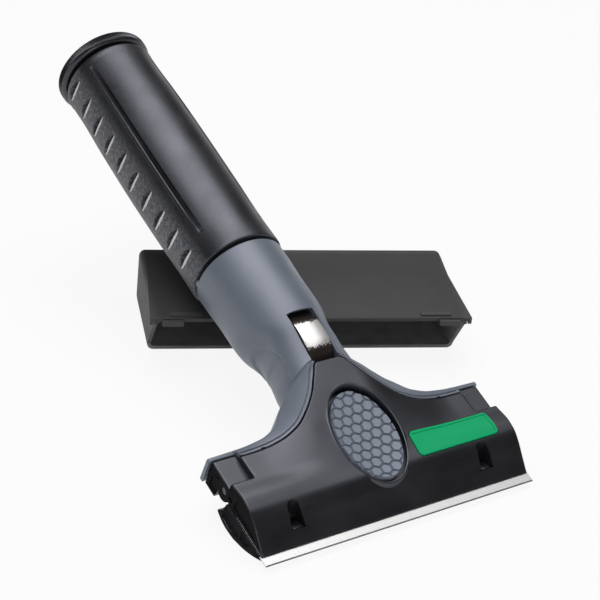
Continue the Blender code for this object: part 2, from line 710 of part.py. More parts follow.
def boss_foot(x, y):
    return screw_top(x, y) - COVER_WALL / 2 - 3.0 * COVER_WALL


# Grey frame

def neck_ring(y, half_width, rise, drop, steps):
    ring = []
    for i in range(steps):
        angle = 2 * math.pi * i / steps
        height = rise if math.sin(angle) > 0 else drop
        ring.append((half_width * math.cos(angle), y, AXIS_HEIGHT + height * math.sin(angle)))
    return ring


def neck(name, steps=40, parent=None, finish=None):
    span = NECK_BACK - NECK_FRONT
    rings = []
    for share, wide, rise, drop in NECK_SHARES:
        rings.append(neck_ring(NECK_FRONT + share * span, wide * NECK_RADIUS, rise * NECK_RADIUS,
                               drop * NECK_RADIUS, steps))
    edge = GAP
    share, wide, rise, drop = NECK_SHARES[-1]
    rings[-1] = neck_ring(NECK_BACK - edge, wide * NECK_RADIUS, rise * NECK_RADIUS,
                          drop * NECK_RADIUS, steps)
    rings.append(neck_ring(NECK_BACK, wide * NECK_RADIUS - edge, rise * NECK_RADIUS - edge,
                           drop * NECK_RADIUS - edge, steps))
    return loft(name, rings, parent, finish)


def bore_radius(y):
    share = (y - BORE_FRONT) / (HANDLE_BACK - BORE_FRONT)
    return BORE_TIP_RADIUS + share * (BORE_MOUTH_RADIUS - BORE_TIP_RADIUS)


def cover_seat(parent):
    """Space under the cover, cut from the frame a gap wider than the cover itself."""
    half_high = HEAD_WIDTH / 2 - LAND_WIDTH - COVER_WALL - GAP
    sides = head_sides(half_high)
    high = slab("seat_high", sides, lambda x: FRAME_FRONT - OVERRUN,
                lambda x: cover_rear(max(abs(x) - GAP, 0)) + GAP,
                lambda x, y: RIDGE_HEIGHT + OVERRUN,
                lambda x, y: cover_height(x, min(y, RIDGE_BACK)) - COVER_WALL - GAP, 8, parent)
    made = [high]
    for name, sign in (("seat_left", -1), ("seat_right", 1)):
        x = sorted((sign * (half_high - GAP), sign * (FRAME_WIDTH / 2 + OVERRUN)))
        made.append(box(name, x, (FRAME_FRONT - OVERRUN, HEAD_BACK + GAP),
                        (LAND_HEIGHT - COVER_WALL - GAP / 2, RIDGE_HEIGHT + OVERRUN), parent))
        x = sorted((sign * (HEAD_WIDTH / 2 - CHEEK - GAP), sign * (FRAME_WIDTH / 2 + OVERRUN)))
        made.append(box(name + "_cheek", x, (FRAME_FRONT - OVERRUN, HEAD_BACK + GAP),
                        (-FRAME_DROP - OVERRUN, RIDGE_HEIGHT + OVERRUN), parent))
    return made


def hollow_cutter(name, sign, parent):
    """Shallow finger hollow in the side of the neck."""
    shape = bmesh.new()
    side = sign * (0.83 * NECK_RADIUS + HOLLOW_RADIUS * 0.5 - HOLLOW_DEPTH)
    stretch = Matrix.Diagonal((HOLLOW_RADIUS * 0.5, HOLLOW_RADIUS, HOLLOW_RADIUS, 1.0))
    shift = Matrix.Translation((side, HOLLOW_BACK, AXIS_HEIGHT + HOLLOW_HEIGHT))
    bmesh.ops.create_uvsphere(shape, u_segments=24, v_segments=12, radius=1.0, matrix=shift @ stretch)
    return from_bmesh(name, shape, parent)


def window_cutters(parent):
    half = WINDOW_WIDTH / 2
    high = AXIS_HEIGHT + NECK_RADIUS + OVERRUN
    well = box("window_well", (-half, half), (WINDOW_FRONT, WINDOW_BACK), (AXIS_HEIGHT, high), parent)
    undercut = box("window_undercut", (-half, half),
                   (WINDOW_BACK - OVERRUN / 2, WINDOW_BACK + WINDOW_UNDERCUT),
                   (AXIS_HEIGHT, LEAF_SEAT_HEIGHT + LEAF_RISE * 0.88), parent)
    seat = box("leaf_seat", (-half + GAP / 2, half - GAP / 2), (LEAF_PIVOT_BACK - RIVET_HEAD_RADIUS - 2 * GAP,
                                            WINDOW_FRONT + OVERRUN / 2),
               (LEAF_SEAT_HEIGHT - LEAF_THICKNESS, high), parent)
    return well, undercut, seat


def screw_cutters(parent):
    """Boss pocket, shank hole and head recess of each cover screw."""
    made = []
    for i, (x, y) in enumerate(screw_places()):
        floor = frame_floor(x, y)
        made.append(rod_z(f"boss_pocket_{i + 1}", BOSS_RADIUS + GAP,
                          (boss_foot(x, y) - GAP, RIDGE_HEIGHT + OVERRUN), (x, y), 20, parent))
        made.append(rod_z(f"screw_hole_{i + 1}", SCREW_RADIUS + GAP,
                          (floor - OVERRUN, RIDGE_HEIGHT), (x, y), 16, parent))
        made.append(rod_z(f"screw_recess_{i + 1}", SCREW_HEAD_RADIUS + GAP,
                          (floor - OVERRUN, floor + SCREW_HEAD_HEIGHT + GAP), (x, y), 20, parent))
    return made


def build_frame(parent, finish):
    """One moulding: neck, spigot and the two wings that frame the cover."""
    sides = head_sides(FRAME_WIDTH / 2)
    frame = slab("handle_frame", sides, lambda x: FRAME_FRONT, wing_outer, wing_height,
                 frame_floor, 10, parent, finish)
    join(frame, neck("neck", 40, parent))
    spigot = cone_y("spigot", ((NECK_BACK - OVERRUN, SPIGOT_RADIUS),
                               (NECK_BACK + SPIGOT_LENGTH, SPIGOT_RADIUS)), 40, parent)
    join(frame, spigot)
    for name, sign in (("key_left", -1), ("key_right", 1)):
        x = sorted((sign * (CORE_RADIUS + GAP), sign * (NECK_RADIUS - 2 * GAP)))
        key = box(name, x, (NECK_BACK - KEY_WIDTH, NECK_BACK + GROOVE - GAP),
                  (AXIS_HEIGHT - KEY_HEIGHT, AXIS_HEIGHT), parent)
        join(frame, key)
    bore = cone_y("frame_bore", ((BORE_FRONT, BORE_TIP_RADIUS),
                                 (NECK_BACK + SPIGOT_LENGTH + OVERRUN,
                                  bore_radius(NECK_BACK + SPIGOT_LENGTH + OVERRUN))), 40, parent)
    cut(frame, bore)
    cut(frame, *cover_seat(parent))
    tray_space = oval_body("tray_space", ((TRAY_WALL + GAP, -TRAY_DEPTH - TRAY_FLOOR - GAP, PAD_TILT),
                                          (TRAY_WALL + GAP, OVERRUN, 0.0)), parent)
    cut(frame, tray_space)
    cut(frame, hollow_cutter("hollow_left", -1, parent), hollow_cutter("hollow_right", 1, parent))
    cut(frame, *window_cutters(parent))
    cut(frame, *screw_cutters(parent))
    rivet_hole = rod_z("rivet_hole", RIVET_RADIUS + GAP / 2,
                       (LEAF_SEAT_HEIGHT - LEAF_THICKNESS - 2 * RIVET_HEAD_RADIUS - GAP,
                        LEAF_SEAT_HEIGHT), (0, LEAF_PIVOT_BACK), 16, parent)
    cut(frame, rivet_hole)
    return frame


# Handle

def build_core(parent, finish):
    """Tapered socket tube that the grip and the end collar sit on."""
    front = NECK_BACK + GAP
    socket_end = NECK_BACK + SPIGOT_LENGTH + GAP
    collar_seat = COLLAR_FRONT - GAP
    seat = COLLAR_LIP_RADIUS - GAP
    middle = (COLLAR_FRONT + HANDLE_BACK) / 2
    bead = (HANDLE_BACK - COLLAR_FRONT) / 10
    back = HANDLE_BACK - GAP
    profile = [(SPIGOT_RADIUS + GAP, front), (CORE_RADIUS, front), (CORE_RADIUS, collar_seat),
               (seat, collar_seat), (seat, middle - 2 * bead), (seat + BEAD_RISE, middle - bead),
               (seat + BEAD_RISE, middle + bead), (seat, middle + 2 * bead), (seat, back),
               (bore_radius(back), back), (bore_radius(socket_end), socket_end),
               (SPIGOT_RADIUS + GAP, socket_end)]
    return turned("socket_tube", [(r, y, False) for r, y in profile], 36, parent, finish)


def grip_angles():
    """Directions round the grip, with three close together at each crease."""
    crease = math.degrees(CREASE_HALF_WIDTH / GRIP_RADIUS)
    angles = []
    for start in range(0, 360, 45):
        if start in (45, 135):
            angles.extend((start - crease, start, start + crease))
        else:
            angles.append(start)
        angles.extend(start + step for step in (11.25, 22.5, 33.75))
    return angles


def grip_ring(y, half_width, rise, drop, crease):
    ring = []
    for degrees in grip_angles():
        angle = math.radians(degrees)
        height = rise if math.sin(angle) > 0 else drop
        dip = crease if degrees in (45, 135) else 0.0
        x = (half_width - dip) * math.cos(angle)
        ring.append((x, y, AXIS_HEIGHT + (height - dip) * math.sin(angle)))
    return ring


def scoop_cutters(parent):
    """All finger scoops of both sides, as one cutter."""
    shape = bmesh.new()
    front = NECK_BACK + GROOVE
    for i in range(SCOOP_COUNT):
        y = SCOOP_FIRST_BACK + i * SCOOP_PITCH
        share = (y - front) / (GRIP_BACK - front)
        wide = GRIP_RADIUS * smooth([(s[0], s[1]) for s in GRIP_SHARES], share)
        for sign in (-1, 1):
            stretch = Matrix.Diagonal((SCOOP_DEPTH, SCOOP_WIDTH / 2, SCOOP_LENGTH / 2, 1.0))
            shift = Matrix.Translation((sign * wide, y, AXIS_HEIGHT + SCOOP_HEIGHT))
            bmesh.ops.create_uvsphere(shape, u_segments=8, v_segments=6, radius=1.0,
                                      matrix=shift @ stretch)
    return from_bmesh("finger_scoops", shape, parent)


def build_grip(parent, finish):
    front = NECK_BACK + GROOVE
    span = GRIP_BACK - front
    rings = []
    tables = [[(s[0], s[k]) for s in GRIP_SHARES] for k in (1, 2, 3)]
    for share in sorted([s[0] for s in GRIP_SHARES] + list(GRIP_RING_SHARES)):
        wide, rise, drop = (smooth(table, share) * GRIP_RADIUS for table in tables)
        fade = 0.0 if share in (0.0, 1.0) else CREASE_DEPTH
        rings.append(grip_ring(front + share * span, wide, rise, drop, fade))
    grip = loft("grip_sleeve", rings, parent, finish)
    bore = cone_y("grip_bore", ((front - OVERRUN, CORE_RADIUS + GAP),
                                (GRIP_BACK + OVERRUN, CORE_RADIUS + GAP)), 40, parent)
    cut(grip, bore)
    cut(grip, scoop_cutters(parent))
    return grip


def build_collar(parent, finish):
    """Knurled ring that snaps over the bead at the end of the socket tube."""
    lip = COLLAR_LIP_RADIUS
    middle = (COLLAR_FRONT + HANDLE_BACK) / 2
    bead = (HANDLE_BACK - COLLAR_FRONT) / 10
    chamfer = 3 * bead
    profile = [(lip, COLLAR_FRONT, False), (COLLAR_RADIUS - chamfer, COLLAR_FRONT, False),
               (COLLAR_RADIUS, COLLAR_FRONT + chamfer, True),
               (COLLAR_RADIUS, HANDLE_BACK - bead, True),
               (COLLAR_RADIUS - bead, HANDLE_BACK, False), (lip, HANDLE_BACK, False),
               (lip, middle + 2 * bead + GAP, False), (lip + BEAD_RISE, middle + bead + GAP, False),
               (lip + BEAD_RISE, middle - bead - GAP, False), (lip, middle - 2 * bead - GAP, False)]
    return turned("end_collar", profile, 2 * KNURL_COUNT, parent, finish,
                  wave=lambda i: KNURL_DEPTH * (i % 2))


# Blade, jaw and hinge

def hook_outline(name, margin, z, parent=None):
    """Upright post at each hook's place, widened by a margin."""
    made = []
    for side, sign in (("left", -1), ("right", 1)):
        x = (sign * HOOK_PLACE - HOOK_WIDTH / 2 - margin, sign * HOOK_PLACE + HOOK_WIDTH / 2 + margin)
        y = (HOOK_BACK - HOOK_LENGTH / 2 - margin, HOOK_BACK + HOOK_LENGTH / 2 + margin)
        made.append(box(f"{name}_{side}", x, y, z, parent))
    return made


def build_blade(parent, finish):
    half = BLADE_WIDTH / 2
    thick = BLADE_THICKNESS / 2
    edge = BLADE_THICKNESS / 12
    outline = [(0, -edge), (EDGE_GRIND, -thick), (BLADE_DEPTH, -thick), (BLADE_DEPTH, thick),
               (EDGE_GRIND, thick), (0, edge)]
    blade = prism_x("blade", outline, (-half, half), parent, finish)
    cut(blade, *hook_outline("blade_slot", SLOT_MARGIN, (-OVERRUN, OVERRUN), parent))
    return blade


def jaw_belly():
    """Underside of the jaw from its front lip back to the heel."""
    run = BELLY_BACK - EDGE_BARE
    front = [(EDGE_BARE + y * run, -JAW_TOP - z * (BELLY_DROP - JAW_TOP)) for y, z in JAW_BELLY_SHARES]
    heel = [((BELLY_BACK + JAW_BACK) / 2, -BELLY_DROP * 0.955), (JAW_BACK, -BELLY_DROP * 0.82)]
    return front + heel


def build_jaw(parent, finish):
    """Lower jaw: it clamps the blade from below and swings down on the hinge pin."""
    half = HEAD_WIDTH / 2
    heel = [(JAW_HEEL_BACK + (JAW_BACK - JAW_HEEL_BACK) * 0.3, -BELLY_DROP * 0.51),
            (JAW_HEEL_BACK, -JAW_TOP)]
    outline = jaw_belly() + heel + [(EDGE_BARE, -JAW_TOP)]
    jaw = prism_x("lower_jaw", outline, (-half, half), parent, finish)
    knuckle = KNUCKLE_WIDTH / 2
    join(jaw, rod_x("knuckle", KNUCKLE_RADIUS, (-knuckle, knuckle), (HINGE_BACK, HINGE_HEIGHT), 24,
                    parent))
    web = [(JAW_HEEL_BACK - 2 * KNUCKLE_RADIUS, -JAW_TOP), (JAW_HEEL_BACK - GAP, -BELLY_DROP * 0.45),
           (HINGE_BACK, HINGE_HEIGHT - KNUCKLE_RADIUS * 0.9),
           (HINGE_BACK - KNUCKLE_RADIUS * 0.5, HINGE_HEIGHT + KNUCKLE_RADIUS * 0.8),
           (JAW_HEEL_BACK - KNUCKLE_RADIUS, -JAW_TOP + GAP)]
    join(jaw, prism_x("knuckle_web", web, (-knuckle, knuckle), parent))
    join(jaw, *hook_outline("hook", 0.0, (-BELLY_DROP / 3, HOOK_HEIGHT), parent))
    pocket_half = HOOK_PLACE - 2 * HOOK_WIDTH
    pocket = box("jaw_pocket", (-pocket_half, pocket_half),
                 (BLADE_DEPTH / 2 - COVER_WALL, JAW_HEEL_BACK - 3 * COVER_WALL),
                 (-BELLY_DROP * 0.55, OVERRUN), parent)
    cut(jaw, pocket)
    cut(jaw, rod_x("knuckle_bore", PIN_RADIUS + RUN_GAP, (-half, half), (HINGE_BACK, HINGE_HEIGHT), 20,
                   parent))
    return jaw


def build_pin(parent, finish):
    half = HEAD_WIDTH / 2 - GAP
    return rod_x("jaw_hinge_pin", PIN_RADIUS, (-half, half), (HINGE_BACK, HINGE_HEIGHT), 20, parent,
                 finish)


# Thumb pad, plate, leaf and fasteners

def hexagon_rings(x, along, radius, low, high):
    """Low wide and high narrow ring of one raised cell on the pad's sloping plane."""
    rings = []
    turns = [math.pi * (2 * i + 1) / 6 for i in range(6)]
    for depth, reach in ((low, radius), (high, radius - CELL_RISE / 2)):
        rings.append([oval_point(x + reach * math.cos(a), along + reach * math.sin(a), depth, PAD_TILT)
                      for a in turns])
    return rings


def honeycomb(parent):
    """Every cell that lies wholly on the pad, as one body of separate studs."""
    shape = bmesh.new()
    radius = (CELL_PITCH - CELL_GROOVE) / math.sqrt(3)
    row_pitch = CELL_PITCH * math.sqrt(3) / 2
    rows = int(OVAL_HALF_LENGTH / row_pitch) + 1
    columns = int(OVAL_HALF_WIDTH / CELL_PITCH) + 1
    wide = OVAL_HALF_WIDTH - PAD_MARGIN - radius - GAP
    long = OVAL_HALF_LENGTH - PAD_MARGIN - radius - GAP
    for row in range(-rows, rows + 1):
        for column in range(-columns, columns + 1):
            x = (column + 0.5 * (row % 2)) * CELL_PITCH
            along = row * row_pitch
            if (x / wide) ** 2 + (along / long) ** 2 > 1:
                continue
            low = -PAD_RECESS - CELL_RISE - GAP
            skin_rings(shape, hexagon_rings(x, along, radius, low, -PAD_RECESS))
    return from_bmesh("pad_cells", shape, parent)


def build_pad(parent, finish):
    pad = oval_body("thumb_pad", ((-PAD_MARGIN, -TRAY_DEPTH + GAP, PAD_TILT),
                                  (-PAD_MARGIN, -PAD_RECESS - CELL_RISE, PAD_TILT)), parent, finish)
    join(pad, honeycomb(parent))
    return pad


def build_plate(parent, finish):
    return plate_slab("label_plate", 0.0, -PLATE_THICKNESS + GAP, PLATE_PROUD, parent, finish)


def leaf_line():
    """Middle line of the bent leaf, in Y and Z."""
    start = LEAF_PIVOT_BACK - RIVET_HEAD_RADIUS
    span = LEAF_BACK - start
    base = LEAF_SEAT_HEIGHT + LEAF_THICKNESS / 2
    steps = 14
    return [(start + span * i / steps, base + LEAF_RISE * smooth(LEAF_SHARES, i / steps))
            for i in range(steps + 1)]


def build_leaf(parent, finish):
    """Bent spring leaf, the same thickness all along."""
    line = leaf_line()
    upper = []
    lower = []
    for i, (y, z) in enumerate(line):
        before = line[max(i - 1, 0)]
        after = line[min(i + 1, len(line) - 1)]
        run = Vector((after[0] - before[0], after[1] - before[1])).normalized()
        upper.append((y - run.y * LEAF_THICKNESS / 2, z + run.x * LEAF_THICKNESS / 2))
        lower.append((y + run.y * LEAF_THICKNESS / 2, z - run.x * LEAF_THICKNESS / 2))
    half = LEAF_WIDTH / 2
    leaf = prism_x("lock_leaf", upper + list(reversed(lower)), (-half, half), parent, finish)
    hole = rod_z("leaf_hole", RIVET_RADIUS + GAP,
                 (LEAF_SEAT_HEIGHT - OVERRUN, LEAF_SEAT_HEIGHT + OVERRUN), (0, LEAF_PIVOT_BACK), 16, parent)
    cut(leaf, hole)
    return leaf


def stepped_rod(name, centre, ends, steps, parent, finish):
    """Round piece along Z from pairs of height and radius."""
    rings = []
    for z, radius in ends:
        turns = [2 * math.pi * i / steps for i in range(steps)]
        rings.append([(centre[0] + radius * math.cos(a), centre[1] + radius * math.sin(a), z)
                      for a in turns])
    return loft(name, rings, parent, finish)


def build_rivet(parent, finish):
    top = LEAF_SEAT_HEIGHT + LEAF_THICKNESS + GAP
    foot = LEAF_SEAT_HEIGHT - LEAF_THICKNESS - 2 * RIVET_HEAD_RADIUS
    ends = [(foot, RIVET_RADIUS - GAP / 2), (top, RIVET_RADIUS - GAP / 2), (top, RIVET_HEAD_RADIUS),
            (top + RIVET_HEAD_HEIGHT / 2, RIVET_HEAD_RADIUS),
            (top + RIVET_HEAD_HEIGHT, RIVET_HEAD_RADIUS * 0.6)]
    return stepped_rod("leaf_rivet", (0, LEAF_PIVOT_BACK), ends, 12, parent, finish)


def build_screws(parent, finish):
    made = []
    for i, (x, y) in enumerate(screw_places()):
        seat = frame_floor(x, y) + SCREW_HEAD_HEIGHT
        tip = screw_top(x, y) - 3 * GAP
        ends = [(seat - SCREW_HEAD_HEIGHT, SCREW_HEAD_RADIUS * 0.8),
                (seat - SCREW_HEAD_HEIGHT * 0.7, SCREW_HEAD_RADIUS), (seat, SCREW_HEAD_RADIUS),
                (seat, SCREW_RADIUS), (tip - SCREW_RADIUS, SCREW_RADIUS), (tip, SCREW_RADIUS * 0.4)]
        made.append(stepped_rod(f"cover_screw_{i + 1}", (x, y), ends, 12, parent, finish))
    return made


# Blade guard

def guard_body(name, inset, mouth_extra, parent=None, finish=None):
    """Shell outline: tapered in plan, with its bottom panel set back from the mouth."""
    low = inset
    high = GUARD_HEIGHT - inset
    back = GUARD_DEPTH - inset
    front = -mouth_extra
    side_mouth = GUARD_MOUTH_WIDTH / 2 - GUARD_EAVE - inset
    side_closed = GUARD_CLOSED_WIDTH / 2 - inset
    corner = max(GUARD_ROUND - inset, GUARD_ROUND / 4)

    def ring(y, half):
        outline = []
        for sx, sz, start in ((1, 1, 0), (-1, 1, 90), (-1, -1, 180), (1, -1, 270)):
            centre_x = sx * (half - corner)
            centre_z = high - corner if sz > 0 else low + corner
            for i in range(5):
                angle = math.radians(start + 90 * i / 4)
                outline.append((centre_x + corner * math.cos(angle), y,
                                centre_z + corner * math.sin(angle)))
        return outline

    slope = (side_mouth - side_closed) / GUARD_DEPTH
    rings = [ring(front, side_mouth + slope * mouth_extra), ring(back - corner, side_closed),
             ring(back, side_closed - corner * 0.4)]
    return loft(name, rings, parent, finish)


def build_guard(parent, finish):
    """Push-on cover for the blade: open toward the scraper, with two lips that snap on."""
    guard = guard_body("blade_guard", 0.0, 0.0, parent, finish)
    eave_mouth = GUARD_MOUTH_WIDTH / 2
    eave_closed = GUARD_CLOSED_WIDTH / 2 - GUARD_ROUND
    roof = [(-eave_mouth, 0), (eave_mouth, 0), (eave_closed, GUARD_DEPTH - GUARD_ROUND),
            (-eave_closed, GUARD_DEPTH - GUARD_ROUND)]
    panel = prism_z("guard_roof", roof, (GUARD_HEIGHT - GUARD_WALL, GUARD_HEIGHT), parent)
    join(guard, panel)
    for name, sign in (("left", -1), ("right", 1)):
        x = sorted((sign * (eave_mouth - GUARD_WALL), sign * eave_mouth))
        join(guard, box(f"guard_hook_{name}", x, (0, 2 * GUARD_WALL),
                        (GUARD_HEIGHT - 2 * GUARD_WALL, GUARD_HEIGHT - GUARD_WALL / 2), parent))
    cut(guard, guard_body("guard_inside", GUARD_WALL, OVERRUN, parent))
    low_front = [(-OVERRUN, -OVERRUN), (-OVERRUN, GUARD_HEIGHT - 2 * GUARD_WALL),
                 (GUARD_WALL, GUARD_HEIGHT - 2 * GUARD_WALL), (GUARD_SETBACK, GUARD_ROUND),
                 (GUARD_SETBACK, -OVERRUN)]
    cut(guard, prism_x("guard_setback", low_front, (-GUARD_MOUTH_WIDTH, GUARD_MOUTH_WIDTH), parent))
    for name, sign in (("left", -1), ("right", 1)):
        lip = sign * LIP_SIDE
        join(guard, box(f"guard_lip_{name}", (lip - LIP_LENGTH / 2, lip + LIP_LENGTH / 2),
                        (-LIP_REACH, GUARD_WALL),
                        (GUARD_HEIGHT - GUARD_WALL - LIP_THICKNESS, GUARD_HEIGHT - LIP_THICKNESS / 2),
                        parent))
        bar = sign * BAR_SIDE
        join(guard, box(f"guard_bar_{name}", (bar - BAR_LENGTH / 2, bar + BAR_LENGTH / 2),
                        (BAR_BACK, BAR_BACK + BAR_WIDTH),
                        (GUARD_HEIGHT - GUARD_WALL / 2, GUARD_HEIGHT + BAR_RISE), parent))
    return guard


# Pose of the whole

def lean_point():
    """Underside of the neck where it leans on the guard, level with the blade."""
    share = (LEAN_BACK - NECK_FRONT) / (NECK_BACK - NECK_FRONT)
    drop = smooth([(s[0], s[3]) for s in NECK_SHARES], share) * NECK_RADIUS
    return LEAN_BACK, AXIS_HEIGHT - drop


def lean_pitch():
    """Nose-down angle at which belly and neck rest on the floor and on the guard."""
    back, height = lean_point()
    run = back - BELLY_BACK * 0.85
    rise = height + BELLY_DROP * 0.97
    reach = math.hypot(run, rise)
    return math.asin((GUARD_HEIGHT + GAP) / reach) - math.atan2(rise, run)


def lowest_corner(root):
    """Lowest point and outline of everything visible under a root."""
    bpy.context.view_layer.update()
    depsgraph = bpy.context.evaluated_depsgraph_get()
    corners = []
    for made in bpy.context.scene.objects:
        top = made
        while top.parent is not None:
            top = top.parent
        if made.type != "MESH" or made.hide_render or (root is not None and top != root):
            continue
        solid = made.evaluated_get(depsgraph)
        corners.extend(made.matrix_world @ vertex.co for vertex in solid.data.vertices)
    low = Vector(min(corner[axis] for corner in corners) for axis in range(3))
    high = Vector(max(corner[axis] for corner in corners) for axis in range(3))
    return low, high


def build():
    for old in list(bpy.data.objects):
        bpy.data.objects.remove(old, do_unlink=True)

    black = material("black_plastic", (0.022, 0.022, 0.024), 0.42)
    rubber = material("black_soft_grip", (0.02, 0.02, 0.023), 0.5)
    grey = material("blue_grey_plastic", (0.16, 0.19, 0.24), 0.42)
    pad_grey = material("blue_grey_rubber", (0.19, 0.22, 0.27), 0.6)
    green = material("plain_green", (0.0, 0.36, 0.14), 0.4)
    steel = material("blade_steel", (0.72, 0.73, 0.74), 0.25, 1.0)
    spring = material("spring_steel", (0.8, 0.79, 0.77), 0.22, 1.0)
    dark = material("guard_plastic", (0.07, 0.07, 0.072), 0.6)

    scraper = empty("scraper")
    build_frame(scraper, grey)
    build_core(scraper, black)
    build_grip(scraper, rubber)
    build_cover(scraper, black)
    build_pad(scraper, pad_grey)
    build_plate(scraper, green)
    build_rivet(scraper, steel)
    build_screws(scraper, steel)
    build_pin(scraper, steel)

    collar_axis = empty("collar_axis", (0, COLLAR_FRONT, AXIS_HEIGHT), scraper)
    build_collar(collar_axis, black)
    jaw_axis = empty("jaw_axis", (0, HINGE_BACK, HINGE_HEIGHT), scraper)
    build_jaw(jaw_axis, black)
    build_blade(jaw_axis, steel)
    leaf_axis = empty("leaf_axis", (0, LEAF_PIVOT_BACK, LEAF_SEAT_HEIGHT), scraper)
    build_leaf(leaf_axis, spring)
    for axis in (collar_axis, jaw_axis, leaf_axis):
        keep_in_place(axis)

    guard_place = empty("guard_place")
    build_guard(guard_place, dark)

    scraper.rotation_euler.x = lean_pitch()
    low, _ = lowest_corner(scraper)
    scraper.location.z = -low.z
    bpy.context.view_layer.update()

    back, height = lean_point()
    lean = scraper.matrix_world @ Vector((0, back, height))
    turn = math.radians(-GUARD_TURN)
    along = Vector((math.cos(turn), math.sin(turn), 0))
    behind = Vector((-math.sin(turn), math.cos(turn), 0))
    middle = lean + along * GUARD_SIDE_SHIFT - behind * GUARD_LEAN_REACH
    guard_place.location = (middle.x, middle.y, 0)
    guard_place.rotation_euler.z = turn

    low, high = lowest_corner(None)
    shift = Vector(((low.x + high.x) / 2, (low.y + high.y) / 2, 0))
    scraper.location -= shift
    guard_place.location -= shift


build()
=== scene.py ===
"""Looks of the hand scraper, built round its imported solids.

The pieces are drawn in the scraper's own level frame, in millimetres: X along the blade, Y from its
edge back along the handle, Z up from the blade. Two matrices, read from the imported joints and
mounts, then take them and the blade guard to where they lie."""

import json
import math

import bmesh
import bpy
from mathutils import Matrix, Vector


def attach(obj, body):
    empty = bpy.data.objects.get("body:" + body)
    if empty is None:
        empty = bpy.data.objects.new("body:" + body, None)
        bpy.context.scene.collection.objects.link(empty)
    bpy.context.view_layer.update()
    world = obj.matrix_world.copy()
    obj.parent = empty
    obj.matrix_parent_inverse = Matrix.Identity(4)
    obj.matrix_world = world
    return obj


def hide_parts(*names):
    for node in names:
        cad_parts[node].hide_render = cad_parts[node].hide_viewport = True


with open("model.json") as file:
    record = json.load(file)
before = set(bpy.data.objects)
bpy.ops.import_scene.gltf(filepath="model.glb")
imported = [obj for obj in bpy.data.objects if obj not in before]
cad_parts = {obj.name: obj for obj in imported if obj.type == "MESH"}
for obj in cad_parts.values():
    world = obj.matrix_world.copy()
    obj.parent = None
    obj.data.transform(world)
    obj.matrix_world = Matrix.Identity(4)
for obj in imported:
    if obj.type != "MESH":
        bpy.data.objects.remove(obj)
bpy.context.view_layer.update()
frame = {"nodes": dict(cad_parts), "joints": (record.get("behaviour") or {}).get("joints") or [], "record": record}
JOINTS = {joint["name"]: joint for joint in frame["joints"]}
MOUNTS = {mount["name"]: mount for mount in frame["record"]["mounts"]}
SIDES = (-1, 1)

# Sizes in millimetres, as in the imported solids
GAP = 0.3
OVERRUN = 6.0
SLIVER = 0.02
EDGE_BARE = 3.3
HEAD_HALF = 49.7
HEAD_BACK = 36.6
LIP_HEIGHT = 0.75
COVER_FLOOR = 0.55
CREST_BACK = 19.0
CREST_HEIGHT = 8.9
STEP_BACK = 25.8
STEP_HEIGHT = 7.9
VALLEY_HEIGHT = 7.4
LAND_HEIGHT = 5.3
LAND_SIDE = 41.7
CHEEK = 3.0
CHEEK_DROP = 4.3
COVER_WALL = 2.0
BEAM_BACK = 17.0
RIDGE_BACK = 56.0
RIDGE_HEIGHT = 15.0
HUMP_SPREAD = 36.0
HUMP_FLAT = 6.0
TONGUE_BACK = 55.2
FRAME_HALF = 50.5
FRAME_BACK = 38.3
FRAME_FRONT = 30.9
THROAT_BACK = 57.0
FRAME_DROP = 4.3
THROAT_DROP = 9.5
HINGE = (27.8, 1.7)
PIN_RADIUS = 1.2
KNUCKLE_RADIUS = 2.6
KNUCKLE_HALF = 39.0
JAW_TOP = 0.55
JAW_BACK = 27.3
JAW_HEEL_BACK = 24.6
BELLY_BACK = 21.6
BELLY_DROP = 8.4
HOOK_PLACE = 35.3
HOOK_WIDTH = 3.4
TEARDROP_HALF = 2.5
TEARDROP_ROUND = 2.1
END_MARK = 0.35
END_SLOT = 0.9
OVAL_BACK = 27.9
OVAL_HEIGHT = 10.6
OVAL_SLOPE = 0.19
OVAL_HALF_WIDTH = 11.4
OVAL_HALF_LENGTH = 17.2
TRAY_WALL = 1.5
TRAY_LIP = 0.6
TRAY_DEPTH = 2.9
TRAY_FLOOR = 1.2
PAD_MARGIN = 0.95
PAD_RECESS = 1.6
PAD_TILT = 0.06
STUD_PITCH = 3.7
STUD_HEIGHT = 1.1
STUD_GAP = 0.42
PAD_DISH = 1.15
PLATE_SIDE = 28.3
PLATE_BACK = 19.9
PLATE_WIDTH = 30.4
PLATE_LENGTH = 8.8
PLATE_CORNER = 1.4
PLATE_THICKNESS = 0.9
PLATE_PROUD = 0.35
PLATE_RIM = 0.85
PLATE_SUNK = 0.22
AXIS_HEIGHT = 1.7
NECK_FRONT = 45.0
NECK_BACK = 106.0
NECK_RADIUS = 16.5
HOLLOW_BACK = 63.5
HOLLOW_RADIUS = 10.0
HOLLOW_DEPTH = 1.5
GROOVE = 1.2
CORE_RADIUS = 13.6
SPIGOT_RADIUS = 12.4
SPIGOT_LENGTH = 14.0
GRIP_FRONT = NECK_BACK + GROOVE
GRIP_BACK = 202.0
GRIP_RADIUS = 16.6
SCOOPS = 10
SCOOP_PITCH = 9.17
SCOOP_START = GRIP_FRONT + 8.4
SCOOP_HALF_WIDTH = 1.6
SCOOP_HALF_HEIGHT = 4.7
COLLAR_FRONT = 203.4
HANDLE_BACK = 207.4
COLLAR_MIDDLE = (COLLAR_FRONT + HANDLE_BACK) / 2
COLLAR_RADIUS = 17.05
COLLAR_LIP_RADIUS = 12.9
COLLAR_RIBS = 190
RIB_WAVES = (0.0, 0.1, 0.2, 0.1)
CREASES = (45, 135)
CREASE_DEPTH = 2.4
BORE_FRONT = 58.0
BORE_TIP_RADIUS = 9.0
BORE_MOUTH_RADIUS = 11.4
WINDOW_FRONT = 55.6
WINDOW_BACK = 74.2
WINDOW_WIDTH = 9.8
LEAF_WIDTH = 8.8
LEAF_THICKNESS = 0.7
LEAF_SEAT_HEIGHT = 10.4
